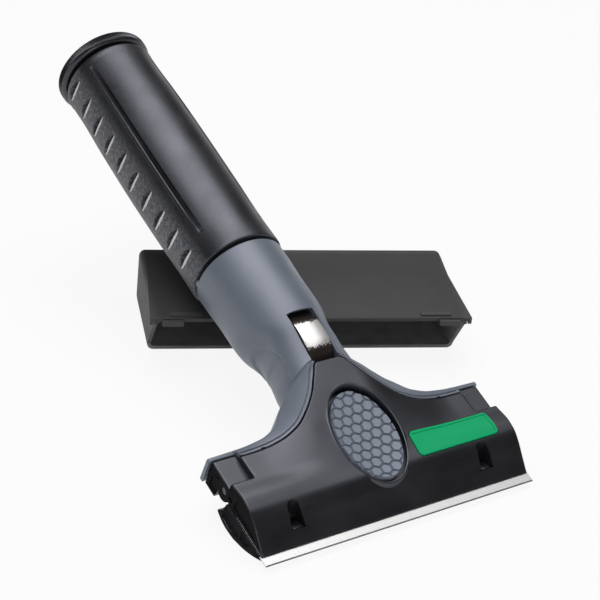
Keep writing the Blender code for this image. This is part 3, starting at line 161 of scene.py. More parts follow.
LEAF_PIVOT_BACK = 51.6
LEAF_BACK = 76.6
LEAF_RISE = 5.4
RIVET_HOLE_RADIUS = 1.4
BLADE_HALF = 50.0
BLADE_INNER_HALF = 49.35
BLADE_DEPTH = 19.0
BLADE_FLAT = 0.25
GUARD_DEPTH = 48.0
GUARD_HEIGHT = 20.0
GUARD_WALL = 1.2
GUARD_MOUTH_HALF = 54.7
GUARD_CLOSED_HALF = 53.8
GUARD_EAVE = 1.6
GUARD_SETBACK = 13.5
GUARD_ROUND = 2.2
GUARD_BASE_BACK = 26.0
GUARD_LIP_PLACE = 47.0
GUARD_BAR_PLACE = 42.5
SCREW_HOLE_RADIUS = 1.4
SCREW_RECESS_RADIUS = 2.6
SCREW_RECESS_DEPTH = 1.8
SCREWS = ((-33.0, 34.0), (33.0, 34.0), (-14.2, 37.4), (14.2, 37.4))
SCREW_SIZES = {"Head Radius": 2.3, "Head Height": 1.5, "Shank Radius": 1.1, "Shank Length": 9.5,
               "Recess Width": 0.6, "Recess Depth": 1.1}

# Curves, as shares of the sizes that they follow
COVER_ARC = ((0.0, 0.0), (0.27, 0.37), (0.56, 0.76), (0.78, 0.95), (1.0, 1.0))
RIDGE = ((0.25, 0.31), (0.50, 0.60), (0.75, 0.84), (1.0, 1.0))
RIM_OUTER = ((0.0, 1.0), (0.087, 0.98), (0.238, 0.80), (0.317, 0.65), (0.41, 0.444),
             (0.515, 0.15), (0.634, 0.03), (0.79, 0.0), (1.0, 0.0))
RIM_HEIGHT = ((0.0, 1.0), (0.087, 0.95), (0.238, 0.60), (0.317, 0.37), (0.41, 0.19),
              (0.515, 0.18), (0.634, 0.14), (0.79, 0.06), (1.0, 0.0))
RIM_INNER = ((0.0, 1.0), (0.085, 1.0), (0.14, 0.80), (0.21, 0.51), (0.30, 0.24),
             (0.40, 0.04), (0.53, -0.07), (0.66, -0.105), (0.80, -0.115), (1.0, -0.115))
THROAT = ((0.0, 1.0), (0.2, 0.85), (0.4, 0.35), (0.55, 0.0), (1.0, 0.0))
NECK = ((0.0, 0.80, 0.70, 0.52), (0.10, 0.87, 0.80, 0.72), (0.18, 0.865, 0.81, 0.79),
        (0.25, 0.835, 0.845, 0.82), (0.31, 0.825, 0.885, 0.81), (0.42, 0.85, 0.955, 0.825),
        (0.54, 0.92, 0.97, 0.91), (0.62, 0.94, 0.958, 0.935), (0.75, 0.94, 0.945, 0.94),
        (0.88, 0.958, 0.950, 0.965), (1.0, 0.966, 0.945, 0.985))
GRIP = ((0.0, 0.985, 0.968, 1.015), (0.012, 0.992, 0.966, 1.03), (0.12, 0.985, 0.945, 1.045),
        (0.30, 1.0, 0.955, 1.06), (0.50, 1.010, 0.975, 1.05), (0.72, 1.0, 0.995, 1.0),
        (0.90, 0.975, 0.985, 0.945), (0.965, 0.975, 0.99, 0.955), (0.99, 0.985, 1.0, 0.975),
        (1.0, 0.96, 0.98, 0.95))
SCOOP_WALLS = ((-1.0, 0.0), (0.12, 0.75), (0.40, 2.0), (0.64, 2.0), (1.0, 0.0))
JAW_BELLY = ((0.0, 0.08), (0.22, 0.42), (0.48, 0.73), (0.76, 0.95), (1.0, 1.0))
LEAF = ((0.0, 0.0), (0.20, 0.0), (0.38, 0.72), (0.52, 0.92), (0.74, 1.0), (0.84, 0.80), (1.0, 0.42))


# Where the scraper and the guard lie

def scraper_place():
    """Matrix from level millimetres to the row frame, from the handle's axis and the jaw's pin."""
    along = JOINTS["collar_turn"]["axis"]
    turn = Matrix.Rotation(math.atan2(along[2], along[1]), 4, "X")
    pin = turn @ Vector((0, HINGE[0] / 1000, HINGE[1] / 1000))
    shift = Vector(JOINTS["jaw_hinge"]["pos_m"]) - pin
    return Matrix.Translation(shift) @ turn @ Matrix.Scale(0.001, 4)


def guard_place():
    """Matrix from the guard's own millimetres to the row frame."""
    along = JOINTS["guard_draw"]["axis"]
    turn = Matrix.Rotation(math.atan2(-along[0], along[1]), 4, "Z")
    shift = Vector(MOUNTS["guard_base"]["pos_m"]) - turn @ Vector((0, GUARD_BASE_BACK / 1000, 0))
    return Matrix.Translation(shift) @ turn @ Matrix.Scale(0.001, 4)


SCRAPER = scraper_place()
GUARD = guard_place()


# Curves and surfaces of the head

def clamp(value):
    return min(max(value, 0.0), 1.0)


def smooth(share):
    return share * share * (3 - 2 * share)


def curve(points, at):
    """Value at a place on a smooth curve through the points, with no overshoot."""
    if at <= points[0][0]:
        return points[0][1]
    if at >= points[-1][0]:
        return points[-1][1]
    slopes = [(b[1] - a[1]) / (b[0] - a[0]) for a, b in zip(points, points[1:])]
    tangents = [slopes[0]]
    for before, after in zip(slopes, slopes[1:]):
        level = before * after <= 0
        tangents.append(0.0 if level else 2 * before * after / (before + after))
    tangents.append(slopes[-1])
    i = next(i for i, point in enumerate(points[1:]) if at <= point[0])
    a, b = points[i:i + 2]
    span = b[0] - a[0]
    t = (at - a[0]) / span
    lead = t * (1 - t) * (1 - t) * tangents[i]
    trail = t * t * (t - 1) * tangents[i + 1]
    return a[1] + (b[1] - a[1]) * smooth(t) + span * (lead + trail)


def section(table, share, radius):
    """Half width, rise and drop of neck or grip at a share of its length."""
    return [curve([(row[0], row[k]) for row in table], share) * radius for k in (1, 2, 3)]


ARC = [(EDGE_BARE + y * (CREST_BACK - EDGE_BARE), LIP_HEIGHT + z * (CREST_HEIGHT - LIP_HEIGHT))
       for y, z in COVER_ARC]
SIDE_LINE = ARC + [(STEP_BACK, STEP_HEIGHT), (HEAD_BACK, VALLEY_HEIGHT)]
RIDGE_LINE = ARC + [(CREST_BACK + y * (RIDGE_BACK - CREST_BACK),
                     CREST_HEIGHT + z * (RIDGE_HEIGHT - CREST_HEIGHT)) for y, z in RIDGE]


def cover_height(x, y):
    """Height of the cover's surface: a side line that swells to the ridge in the middle."""
    over = (abs(x) - HUMP_FLAT) / (HUMP_SPREAD - HUMP_FLAT)
    side = curve(SIDE_LINE, y)
    return side + (curve(RIDGE_LINE, y) - side) * math.cos(math.pi / 2 * clamp(over)) ** 2


def wing_outer(x):
    return FRAME_BACK + curve(RIM_OUTER, abs(x) / FRAME_HALF) * (THROAT_BACK - FRAME_BACK)


def wing_edge_height(x):
    return LAND_HEIGHT + curve(RIM_HEIGHT, abs(x) / FRAME_HALF) * (RIDGE_HEIGHT - LAND_HEIGHT)


def cover_rear(x):
    if abs(x) > LAND_SIDE:
        return HEAD_BACK
    return HEAD_BACK + curve(RIM_INNER, abs(x) / FRAME_HALF) * (TONGUE_BACK - HEAD_BACK)


def roll(distance, radius):
    """How far a rounded edge has dropped at a distance in from it."""
    if distance >= radius:
        return 0.0
    inward = radius - max(distance, 0.0)
    return radius - math.sqrt(max(radius * radius - inward * inward, 0.0))


def cover_top(x, y):
    """Top of the cover with its lowered lands and rounded edges."""
    far = abs(x)
    height = cover_height(x, y)
    if far > LAND_SIDE and y > STEP_BACK:
        height = LAND_HEIGHT
    elif far > LAND_SIDE:
        height -= roll(STEP_BACK - y, 0.5)
    elif y > STEP_BACK:
        height -= roll(LAND_SIDE - far, 0.5)
    height -= roll(HEAD_HALF - far, 0.55)
    return height - roll(cover_rear(x) - y, 0.6)


def wing_top(x, y):
    """Top of the grey rim: it leaves the cover's surface and rolls down to its outer edge."""
    inner = cover_rear(x)
    if y <= inner:
        return cover_height(x, y)
    start = LAND_HEIGHT if abs(x) > LAND_SIDE else cover_height(x, inner)
    outer = wing_outer(x)
    share = (y - inner) / max(outer - inner, GAP)
    height = start + (wing_edge_height(x) - start) * min(share, 1.0) ** 1.5
    edge = min(0.7, (outer - inner) / 3)
    height -= roll(FRAME_HALF - abs(x), 0.5)
    return height - roll(outer - y, edge) - roll(y - inner - GAP, 0.25)


def frame_floor(x, y):
    share = curve(THROAT, abs(x) / FRAME_HALF)
    reach = clamp((y - FRAME_FRONT) / (THROAT_BACK - FRAME_FRONT))
    return -FRAME_DROP - (THROAT_DROP - FRAME_DROP) * share * reach


def bore_radius(y):
    share = (y - BORE_FRONT) / (HANDLE_BACK - BORE_FRONT)
    return BORE_TIP_RADIUS + share * (BORE_MOUTH_RADIUS - BORE_TIP_RADIUS)


# Mesh tools

def even(low, high, count):
    """Places from low to high in equal steps, both ends included."""
    return [low + (high - low) * i / count for i in range(count + 1)]


def spread(low, high, step):
    """Even places from low to high, about a step apart."""
    return even(low, high, max(int(round((high - low) / step)), 1))


def mirrored(right):
    return [-x for x in reversed(right) if x > 0] + right


def sided(sign, near, far):
    """Span on one side of the middle, its lower end first."""
    return sorted((sign * near, sign * far))


def round_about(middle, half):
    return (middle - half, middle + half)


def put(name, data):
    """Object in the scene for a mesh, a light or a camera."""
    made = bpy.data.objects.new(name, data)
    bpy.context.scene.collection.objects.link(made)
    return made


def apply(made):
    """Keep what an object's modifiers make as its own mesh."""
    depsgraph = bpy.context.evaluated_depsgraph_get()
    mesh = bpy.data.meshes.new_from_object(made.evaluated_get(depsgraph))
    made.modifiers.clear()
    made.data = mesh
    return made


def from_shape(shape):
    """Object from a bmesh, its faces outward."""
    bmesh.ops.recalc_face_normals(shape, faces=shape.faces)
    mesh = bpy.data.meshes.new("shape")
    shape.to_mesh(mesh)
    shape.free()
    return put("shape", mesh)


def loft(rings, closed=False):
    """Solid through rings of points, capped at both ends, or closed into a loop."""
    shape = bmesh.new()
    rows = [[shape.verts.new(point) for point in ring] for ring in rings]
    pairs = list(zip(rows, rows[1:]))
    if closed:
        pairs.append((rows[-1], rows[0]))
    for one, two in pairs:
        for i in range(len(one)):
            j = (i + 1) % len(one)
            shape.faces.new((one[i], one[j], two[j], two[i]))
    if not closed:
        shape.faces.new(list(reversed(rows[0])))
        shape.faces.new(rows[-1])
    return from_shape(shape)


def prism_x(outline, x):
    return loft([[(side, y, z) for y, z in outline] for side in x])


def prism_z(outline, z):
    return loft([[(x, y, height) for x, y in outline] for height in z])


def box(x, y, z):
    return prism_z(((x[0], y[0]), (x[1], y[0]), (x[1], y[1]), (x[0], y[1])), z)


def circle(radius, steps, centre=(0, 0)):
    turns = [2 * math.pi * i / steps for i in range(steps)]
    return [(centre[0] + radius * math.cos(turn), centre[1] + radius * math.sin(turn))
            for turn in turns]


def cone_y(*ends):
    """Round solid along the handle's axis, from pairs of place and radius."""
    return loft([[(a, y, AXIS_HEIGHT + b) for a, b in circle(radius, 96)] for y, radius in ends])


def turned(profile, steps, waves=(0.0,)):
    """Ring turned about the handle's axis from a closed profile of radius and place.

    Points with a third value also follow the waves, which are cut in round the ring."""
    rings = []
    for i in range(steps):
        angle = 2 * math.pi * i / steps
        ring = []
        for radius, y, *waved in profile:
            radius -= waves[i % len(waves)] if waved else 0.0
            ring.append((radius * math.cos(angle), y, AXIS_HEIGHT + radius * math.sin(angle)))
        rings.append(ring)
    return loft(rings, True)


def sheet_body(sides, places, top, bottom):
    """Closed body between a surface and a floor, over rows given at each side place."""
    shape = bmesh.new()
    upper = []
    lower = []
    for x in sides:
        line = places(x)
        upper.append([shape.verts.new((x, y, top(x, y))) for y in line])
        if callable(bottom):
            lower.append([shape.verts.new((x, y, bottom(x, y))) for y in line])
        else:
            lower.append([shape.verts.new((x, y, bottom)) for y in (line[0], line[-1])])
    for i in range(len(sides) - 1):
        for rail in (upper, lower):
            for j in range(len(rail[i]) - 1):
                shape.faces.new((rail[i][j], rail[i + 1][j], rail[i + 1][j + 1], rail[i][j + 1]))
        for j in (0, -1):
            shape.faces.new((upper[i][j], lower[i][j], lower[i + 1][j], upper[i + 1][j]))
    for i in (0, -1):
        shape.faces.new(upper[i] + list(reversed(lower[i])))
    return from_shape(shape)


def cuts(*others):
    return [("DIFFERENCE", other) for other in others]


def adds(*others):
    return [("UNION", other) for other in others]


def carve(base, *steps, tidy=False):
    """Apply exact Booleans, each a pair of operation and object, and clear the cutters away."""
    for operation, other in steps:
        step = base.modifiers.new("carved", "BOOLEAN")
        step.operation = operation
        step.solver = "EXACT"
        step.use_self = tidy
        step.object = other
    apply(base)
    for _, other in steps:
        bpy.data.objects.remove(other)
    return base


def soften(made, width, angle=35):
    """Round the crisp edges of a simple solid."""
    step = made.modifiers.new("soft_edges", "BEVEL")
    step.width = width
    step.segments = 2
    step.limit_method = "ANGLE"
    step.angle_limit = math.radians(angle)
    step.use_clamp_overlap = True
    return apply(made)


def settle(made, name, finish, body, nodes, angle=32, place=SCRAPER):
    """Take a finished piece to the row frame, name and dress it, and tie it to its body."""
    mesh = made.data
    made.name = mesh.name = name
    mesh.transform(place)
    mesh.shade_smooth()
    mesh.set_sharp_from_angle(angle=math.radians(angle))
    mesh.materials.clear()
    mesh.materials.append(finish)
    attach(made, body)
    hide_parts(*nodes)
    return made


def dull_ends(made, finish):
    """Give the end faces of the head their rough moulded finish."""
    middle = JOINTS["jaw_hinge"]["pos_m"][0]
    made.data.materials.append(finish)
    for face in made.data.polygons:
        if abs(face.normal.x) > 0.9 and abs(face.center.x - middle) > (HEAD_HALF - 1.2) / 1000:
            face.material_index = 1


# Nodes

def feed(node, inputs):
    """Give a node's inputs values, or join them to the outputs of other nodes."""
    for key, value in inputs.items():
        if isinstance(value, bpy.types.NodeSocket):
            node.id_data.links.new(value, node.inputs[key])
        else:
            node.inputs[key].default_value = value
    return node


def add_node(tree, kind, inputs=None, **settings):
    node = tree.nodes.new(kind)
    for name, value in settings.items():
        setattr(node, name, value)
    return feed(node, inputs or {})


def calc(tree, operation, *values):
    inputs = dict(enumerate(values))
    return add_node(tree, "ShaderNodeMath", inputs, operation=operation).outputs[0]


def times(tree, first, second):
    return calc(tree, "MULTIPLY", first, second)


def vector(tree, **axes):
    return add_node(tree, "ShaderNodeCombineXYZ", axes).outputs["Vector"]


def axes_of(tree, place):
    return add_node(tree, "ShaderNodeSeparateXYZ", {"Vector": place}).outputs


def on_object(tree):
    return add_node(tree, "ShaderNodeTexCoord").outputs["Object"]


def attribute(tree, name):
    return add_node(tree, "ShaderNodeAttribute", attribute_name=name).outputs["Fac"]


def noise(tree, where, scale, detail=3.0, roughness=0.5):
    inputs = {"Vector": where, "Scale": scale, "Detail": detail, "Roughness": roughness}
    return add_node(tree, "ShaderNodeTexNoise", inputs).outputs["Fac"]


def map_range(tree, value, low, high, to_low=0.0, to_high=1.0):
    inputs = {"Value": value, "From Min": low, "From Max": high, "To Min": to_low, "To Max": to_high}
    return add_node(tree, "ShaderNodeMapRange", inputs).outputs["Result"]


def mix_colour(tree, share, first, second, blend="MIX"):
    return add_node(tree, "ShaderNodeMix", {"Factor": share, "A": first, "B": second},
                    data_type="RGBA", blend_type=blend).outputs["Result"]


def new_group(name, kind, inputs, outputs):
    """Group of nodes, what comes into it, and the node that takes what goes out.

    An input is given by its first value, or by its kind where it has none."""
    tree = bpy.data.node_groups.new(name, kind)
    for label, value in inputs.items():
        bare = isinstance(value, str)
        socket = value if bare else "Color" if isinstance(value, tuple) else "Float"
        made = tree.interface.new_socket(name=label, in_out="INPUT",
                                         socket_type="NodeSocket" + socket)
        if not bare:
            made.default_value = value
    for label, socket in outputs.items():
        tree.interface.new_socket(name=label, in_out="OUTPUT", socket_type="NodeSocket" + socket)
    return tree, tree.nodes.new("NodeGroupInput").outputs, tree.nodes.new("NodeGroupOutput")


# Finishes

def moulding_group():
    """Moulded plastic: faint flow mottling, fine grain and rubbed edges."""
    tree, given, end = new_group(
        "moulded_surface", "ShaderNodeTree",
        {"Colour": (0.1, 0.1, 0.1, 1), "Roughness": 0.45, "Grain Size": 3000.0, "Mottle": 0.08,
         "Wear": 0.2},
        {"Colour": "Color", "Roughness": "Float", "Height": "Float"})
    where = on_object(tree)
    cloud = calc(tree, "SUBTRACT", noise(tree, where, 90.0), 0.5)
    grain = noise(tree, where, given["Grain Size"], 2.0)
    broad = calc(tree, "MULTIPLY_ADD", cloud, given["Mottle"], 1.0)
    fine = calc(tree, "MULTIPLY_ADD", calc(tree, "SUBTRACT", grain, 0.5), given["Mottle"], 1.0)
    shaded = mix_colour(tree, 1.0, given["Colour"], times(tree, broad, fine), "MULTIPLY")
    point = add_node(tree, "ShaderNodeNewGeometry").outputs["Pointiness"]
    rub = times(tree, map_range(tree, point, 0.52, 0.62), given["Wear"])
    feed(end, {"Colour": mix_colour(tree, rub, shaded, (0.32, 0.33, 0.35, 1)), "Height": grain,
               "Roughness": calc(tree, "MULTIPLY_ADD", cloud, 0.25, given["Roughness"])})
    return tree


SURFACE = moulding_group()
WHITE = (1.0, 1.0, 1.0, 1)
COOL = (0.86, 0.88, 1.0, 1)


def new_material(name, inputs):
    made = bpy.data.materials.new(name)
    made.use_nodes = True
    return made, made.node_tree, feed(made.node_tree.nodes["Principled BSDF"], inputs)


def parts_of(made):
    """A material's tree, its shader and what comes out of the node that colours it."""
    shader = made.node_tree.nodes["Principled BSDF"]
    return made.node_tree, shader, shader.inputs["Base Color"].links[0].from_node.outputs


def bump(tree, shader, height, strength, distance):
    inputs = {"Height": height, "Strength": strength, "Distance": distance}
    feed(shader, {"Normal": add_node(tree, "ShaderNodeBump", inputs).outputs["Normal"]})


def moulded(name, colour, roughness, grain, mottle, wear, strength, specular, tint=COOL):
    colour = (*colour, 1)
    made, tree, shader = new_material(name, {
        "Base Color": colour, "Specular IOR Level": specular, "Specular Tint": tint})
    given = add_node(tree, "ShaderNodeGroup", {
        "Colour": colour, "Roughness": roughness, "Grain Size": grain, "Mottle": mottle,
        "Wear": wear}, node_tree=SURFACE).outputs
    feed(shader, {"Base Color": given["Colour"], "Roughness": given["Roughness"]})
    bump(tree, shader, given["Height"], strength, 0.00004)
    return made


def brushed(name, colour, roughness, stretch, size=2500.0, scratches=0.0):
    """Steel with brush lines: noise drawn out along one direction."""
    colour = (*colour, 1)
    made, tree, shader = new_material(name, {"Base Color": colour, "Metallic": 1.0})
    drawn = add_node(tree, "ShaderNodeMapping", {"Vector": on_object(tree), "Scale": stretch})
    lines = noise(tree, drawn.outputs["Vector"], size, 4.0, 0.6)
    shade = map_range(tree, lines, 0.0, 1.0, 0.86 - 0.3 * scratches, 1.08)
    feed(shader, {"Base Color": mix_colour(tree, 1.0, colour, shade, "MULTIPLY"),
                  "Roughness": calc(tree, "MULTIPLY_ADD", lines, 0.22, roughness - 0.11)})
    bump(tree, shader, lines, 0.12 + scratches, 0.00002)
    return made


def pebble(made):
    """Soft grip: smooth on top, pebbled at its sides, dull in the creases, and with a painted highlight on the
    front wall of each scoop.
    """
    tree, shader, given = parts_of(made)
    side, crease, scoop_highlight = (attribute(tree, name) for name in ("pebble", "crease", "scoop_highlight"))
    where = on_object(tree)
    cells = add_node(tree, "ShaderNodeTexVoronoi", {"Vector": where, "Scale": 1500.0},
                     feature="SMOOTH_F1")
    patch = map_range(tree, noise(tree, where, 900.0, 4.0, 0.7), 0.42, 0.68)
    # Pale worn specks on the pebbled sides that grow away from the creases and paint the lower sides lighter:
    # partly wear, partly painted light
    pale = times(tree, times(tree, patch, side), 0.5)
    worn_and_lit = mix_colour(tree, pale, given["Colour"], (0.28, 0.28, 0.29, 1))
    dull = calc(tree, "MAXIMUM", times(tree, side, 0.16), times(tree, crease, 0.6))
    # Painted highlight: the front wall of each scoop is coloured pale grey
    feed(shader, {"Base Color": mix_colour(tree, scoop_highlight, worn_and_lit, (0.75, 0.75, 0.76, 1)),
                  "Roughness": calc(tree, "ADD", given["Roughness"], dull)})
    lumps = times(tree, cells.outputs["Distance"], times(tree, side, 3.0))
    bump(tree, shader, calc(tree, "SUBTRACT", given["Height"], lumps), 0.45, 0.00005)


def painted_light_inside(made):
    """Paler plastic inside the guard: painted light where little lamp light reaches."""
    tree, shader, given = parts_of(made)
    cloud = map_range(tree, noise(tree, on_object(tree), 120.0, 4.0, 0.6), 0.3, 0.7)
    # Painted light: the inside faces are mixed toward a paler grey
    share = times(tree, attribute(tree, "inside"), calc(tree, "MULTIPLY_ADD", cloud, 0.3, 0.7))
    feed(shader, {"Base Color": mix_colour(tree, share, given["Colour"], (0.34, 0.34, 0.34, 1))})


def shade_leaf_ends(made):
    """Painted shade: brown-black ends on the bright leaf toward the window's ends, ragged where they start."""
    tree, shader, given = parts_of(made)
    ragged = calc(tree, "SUBTRACT", noise(tree, on_object(tree), 1600.0, 5.0, 0.75), 0.5)
    edge = calc(tree, "MULTIPLY_ADD", ragged, 2.2, attribute(tree, "end_shade"))
    # Painted shade at both ends of the leaf
    mask = map_range(tree, edge, 0.42, 0.58)
    feed(shader, {"Base Color": mix_colour(tree, mask, given["Result"], (0.020, 0.014, 0.012, 1)),
                  "Metallic": map_range(tree, mask, 0.0, 1.0, 1.0, 0.15)})


# Geometry Nodes for what repeats

def scatter(tree, given, end, solid, turn):
    """Copies of a solid on the group's points, joined into one mesh and dressed."""
    copies = add_node(tree, "GeometryNodeInstanceOnPoints", {
        "Points": given["Points"], "Instance": solid, "Rotation": turn}).outputs["Instances"]
    joined = add_node(tree, "GeometryNodeRealizeInstances", {"Geometry": copies}).outputs["Geometry"]
    dressed = add_node(tree, "GeometryNodeSetMaterial", {
        "Geometry": joined, "Material": given["Finish"]})
    feed(end, {"Copies": dressed.outputs["Geometry"]})
    return tree


def stud_tree():
    """A six-sided stud with a sloped rim and a crowned top on each point of a mesh."""
    tree, given, end = new_group(
        "pad_cells", "GeometryNodeTree",
        {"Points": "Geometry", "Foot Radius": 2.0, "Top Radius": 1.6, "Height": 1.0, "Tilt": 0.0,
         "Crown": 0.3, "Finish": "Material"}, {"Copies": "Geometry"})
    stud = add_node(tree, "GeometryNodeMeshCone", {
        "Vertices": 6, "Fill Segments": 3, "Radius Bottom": given["Foot Radius"],
        "Radius Top": given["Top Radius"], "Depth": given["Height"]})
    axes = axes_of(tree, add_node(tree, "GeometryNodeInputPosition").outputs["Position"])
    out = calc(tree, "ADD", times(tree, axes["X"], axes["X"]), times(tree, axes["Y"], axes["Y"]))
    edge = times(tree, given["Top Radius"], given["Top Radius"])
    fall = times(tree, calc(tree, "DIVIDE", out, edge), given["Crown"])
    rise = calc(tree, "MAXIMUM", calc(tree, "SUBTRACT", given["Crown"], fall), 0.0)
    rise = times(tree, rise, calc(tree, "GREATER_THAN", axes["Z"], 0.0))
    crowned = add_node(tree, "GeometryNodeSetPosition", {
        "Geometry": stud.outputs["Mesh"], "Offset": vector(tree, Z=rise)})
    turn = vector(tree, X=given["Tilt"], Z=math.pi / 6)
    return scatter(tree, given, end, crowned.outputs["Geometry"], turn)


def screw_tree():
    """A pan-head screw with a cross recess on each point of a mesh, its head down."""
    tree, given, end = new_group(
        "cover_screws", "GeometryNodeTree",
        {"Points": "Geometry", **SCREW_SIZES, "Finish": "Material"}, {"Copies": "Geometry"})
    head = add_node(tree, "GeometryNodeMeshCone", {
        "Vertices": 32, "Radius Top": given["Head Radius"], "Depth": given["Head Height"],
        "Radius Bottom": times(tree, given["Head Radius"], 0.8)})
    rod = add_node(tree, "GeometryNodeMeshCylinder", {
        "Vertices": 20, "Radius": given["Shank Radius"], "Depth": given["Shank Length"]})
    lift = vector(tree, Z=times(tree, given["Shank Length"], 0.5))
    shank = add_node(tree, "GeometryNodeTransform", {
        "Geometry": rod.outputs["Mesh"], "Translation": lift})
    cut_out = add_node(tree, "GeometryNodeMeshBoolean", {"Mesh 1": head.outputs["Mesh"]},
                       operation="DIFFERENCE")
    deep = times(tree, given["Recess Depth"], 2.0)
    for thin, full in (("Y", "X"), ("X", "Y")):
        size = vector(tree, **{thin: given["Recess Width"], full: 2.6, "Z": deep})
        arm = add_node(tree, "GeometryNodeMeshCube", {"Size": size})
        feed(cut_out, {"Mesh 2": arm.outputs["Mesh"]})
    both = add_node(tree, "GeometryNodeJoinGeometry")
    for made in (cut_out.outputs["Mesh"], shank.outputs["Geometry"]):
        feed(both, {"Geometry": made})
    return scatter(tree, given, end, both.outputs["Geometry"], vector(tree))


def grow(points, tree, values):
    """Mesh that a tree makes of points, with its named inputs set."""
    mesh = bpy.data.meshes.new("points")
    mesh.from_pydata(points, [], [])
    made = put("points", mesh)
    step = made.modifiers.new("grown", "NODES")
    step.node_group = tree
    for item in tree.interface.items_tree:
        if item.name in values:
            step[item.identifier] = values[item.name]
    return apply(made)


# Cover

def cover_sides():
    inner = spread(0, LAND_SIDE - 0.55, 0.72) + [LAND_SIDE - d for d in (0.35, 0.2, 0.08, 0.01)]
    outer = [LAND_SIDE + 0.02] + spread(LAND_SIDE + 0.4, HEAD_HALF - 0.75, 0.8)
    return mirrored(inner + outer + [HEAD_HALF - d for d in (0.55, 0.36, 0.2, 0.1, 0.03, 0.0)])


def cover_rows(x):
    rear = cover_rear(x)
    return (spread(EDGE_BARE, STEP_BACK - 0.6, 0.44)
            + [STEP_BACK - d for d in (0.35, 0.2, 0.08, 0.01, -0.02)]
            + even(STEP_BACK + 0.4, rear - 0.9, 26)
            + [rear - d for d in (0.6, 0.38, 0.2, 0.08, 0.02, 0.0)])


def oval_body(*stations):
    """Body on the thumb pad's oval, through stations of margin, depth and tilt."""
    slope = math.atan(OVAL_SLOPE)
    steps = 112
    rings = []
    for margin, depth, tilt in stations:
        ring = []
        for i in range(steps):
            angle = 2 * math.pi * (i + 0.5) / steps
            along = (OVAL_HALF_LENGTH + margin) * math.sin(angle)
            ring.append(((OVAL_HALF_WIDTH + margin) * math.cos(angle),
                         OVAL_BACK + along * math.cos(slope),
                         OVAL_HEIGHT + along * math.sin(slope) + depth - along * tilt))
        rings.append(ring)
    return loft(rings)


def teardrop(sign):
    """Window over a hook, round at its rear and a little wider at its front."""
    middle = sign * HOOK_PLACE
    outline = [(x, 7.1) for x in round_about(middle, TEARDROP_HALF)]
    for turn in even(0, math.pi, 24):
        outline.append((middle + TEARDROP_ROUND * math.cos(turn),
                        12.5 + TEARDROP_ROUND * math.sin(turn)))
    return prism_z(outline, (COVER_FLOOR - OVERRUN, RIDGE_HEIGHT))


def plate_edge(x, margin):
    half = PLATE_LENGTH / 2 + margin
    corner = PLATE_CORNER + margin
    over = abs(x) - (PLATE_WIDTH / 2 + margin - corner)
    if over <= 0:
        return half
    return half - corner + math.sqrt(max(corner * corner - over * over, 0.0))


def plate_solid(margin, low, high):
    """Rounded plate over the cover's arch, between two depths from its surface."""
    def places(x):
        reach = plate_edge(x - PLATE_SIDE, margin)
        return [PLATE_BACK - reach + 2 * reach * i / 24 for i in range(25)]

    half = PLATE_WIDTH / 2 + margin
    corner = PLATE_CORNER + margin
    bend = [half - corner + corner * math.sin(turn) for turn in even(0, math.pi / 2, 8)]
    sides = mirrored(spread(0, half - corner - 0.3, 1.0) + bend)
    return sheet_body([PLATE_SIDE + x for x in sides], places,
                      lambda x, y: cover_height(x, y) + high, lambda x, y: cover_height(x, y) + low)


def cheek(sign):
    """End wall that turns down round the hinge pin."""
    boss = KNUCKLE_RADIUS + CHEEK / 4
    top = LAND_HEIGHT - CHEEK / 2
    rear = HEAD_BACK - GAP
    outline = [(BEAM_BACK - CHEEK, COVER_FLOOR), (BEAM_BACK - CHEEK, top), (rear, top),
               (rear, -CHEEK_DROP), (HINGE[0] + boss * 0.9, -CHEEK_DROP)]
    for degrees in range(-45, -166, -10):
        angle = math.radians(degrees)
        outline.append((HINGE[0] + boss * math.cos(angle), HINGE[1] + boss * math.sin(angle)))
    return prism_x(outline, sided(sign, HEAD_HALF - CHEEK, HEAD_HALF))


def end_marks(sign):
    """Shallow recesses, slot and notch that the moulding leaves in the head's end face."""
    face = sided(sign, HEAD_HALF - END_MARK, HEAD_HALF + OVERRUN)
    deep = sided(sign, HEAD_HALF - END_SLOT, HEAD_HALF + OVERRUN)
    field = [(8.6, 1.35), (21.5, 1.35), (21.5, 4.4)]
    field += [(y, curve(SIDE_LINE, y) - 1.5) for y in (18.0, 15.5, 13.0, 10.8)]
    return [prism_x(field, face),
            prism_x([(22.6, 1.9), (24.9, 1.9), (24.9, 3.1), (22.6, 3.1)], deep),
            prism_x([(31.0, 3.0), (33.4, 2.4), (33.4, 3.0), (31.2, 3.6)], face),
            prism_x([(29.6, -3.2), (34.6, -3.2), (34.6, 1.2), (31.4, 2.4), (29.9, 1.0)], face)]


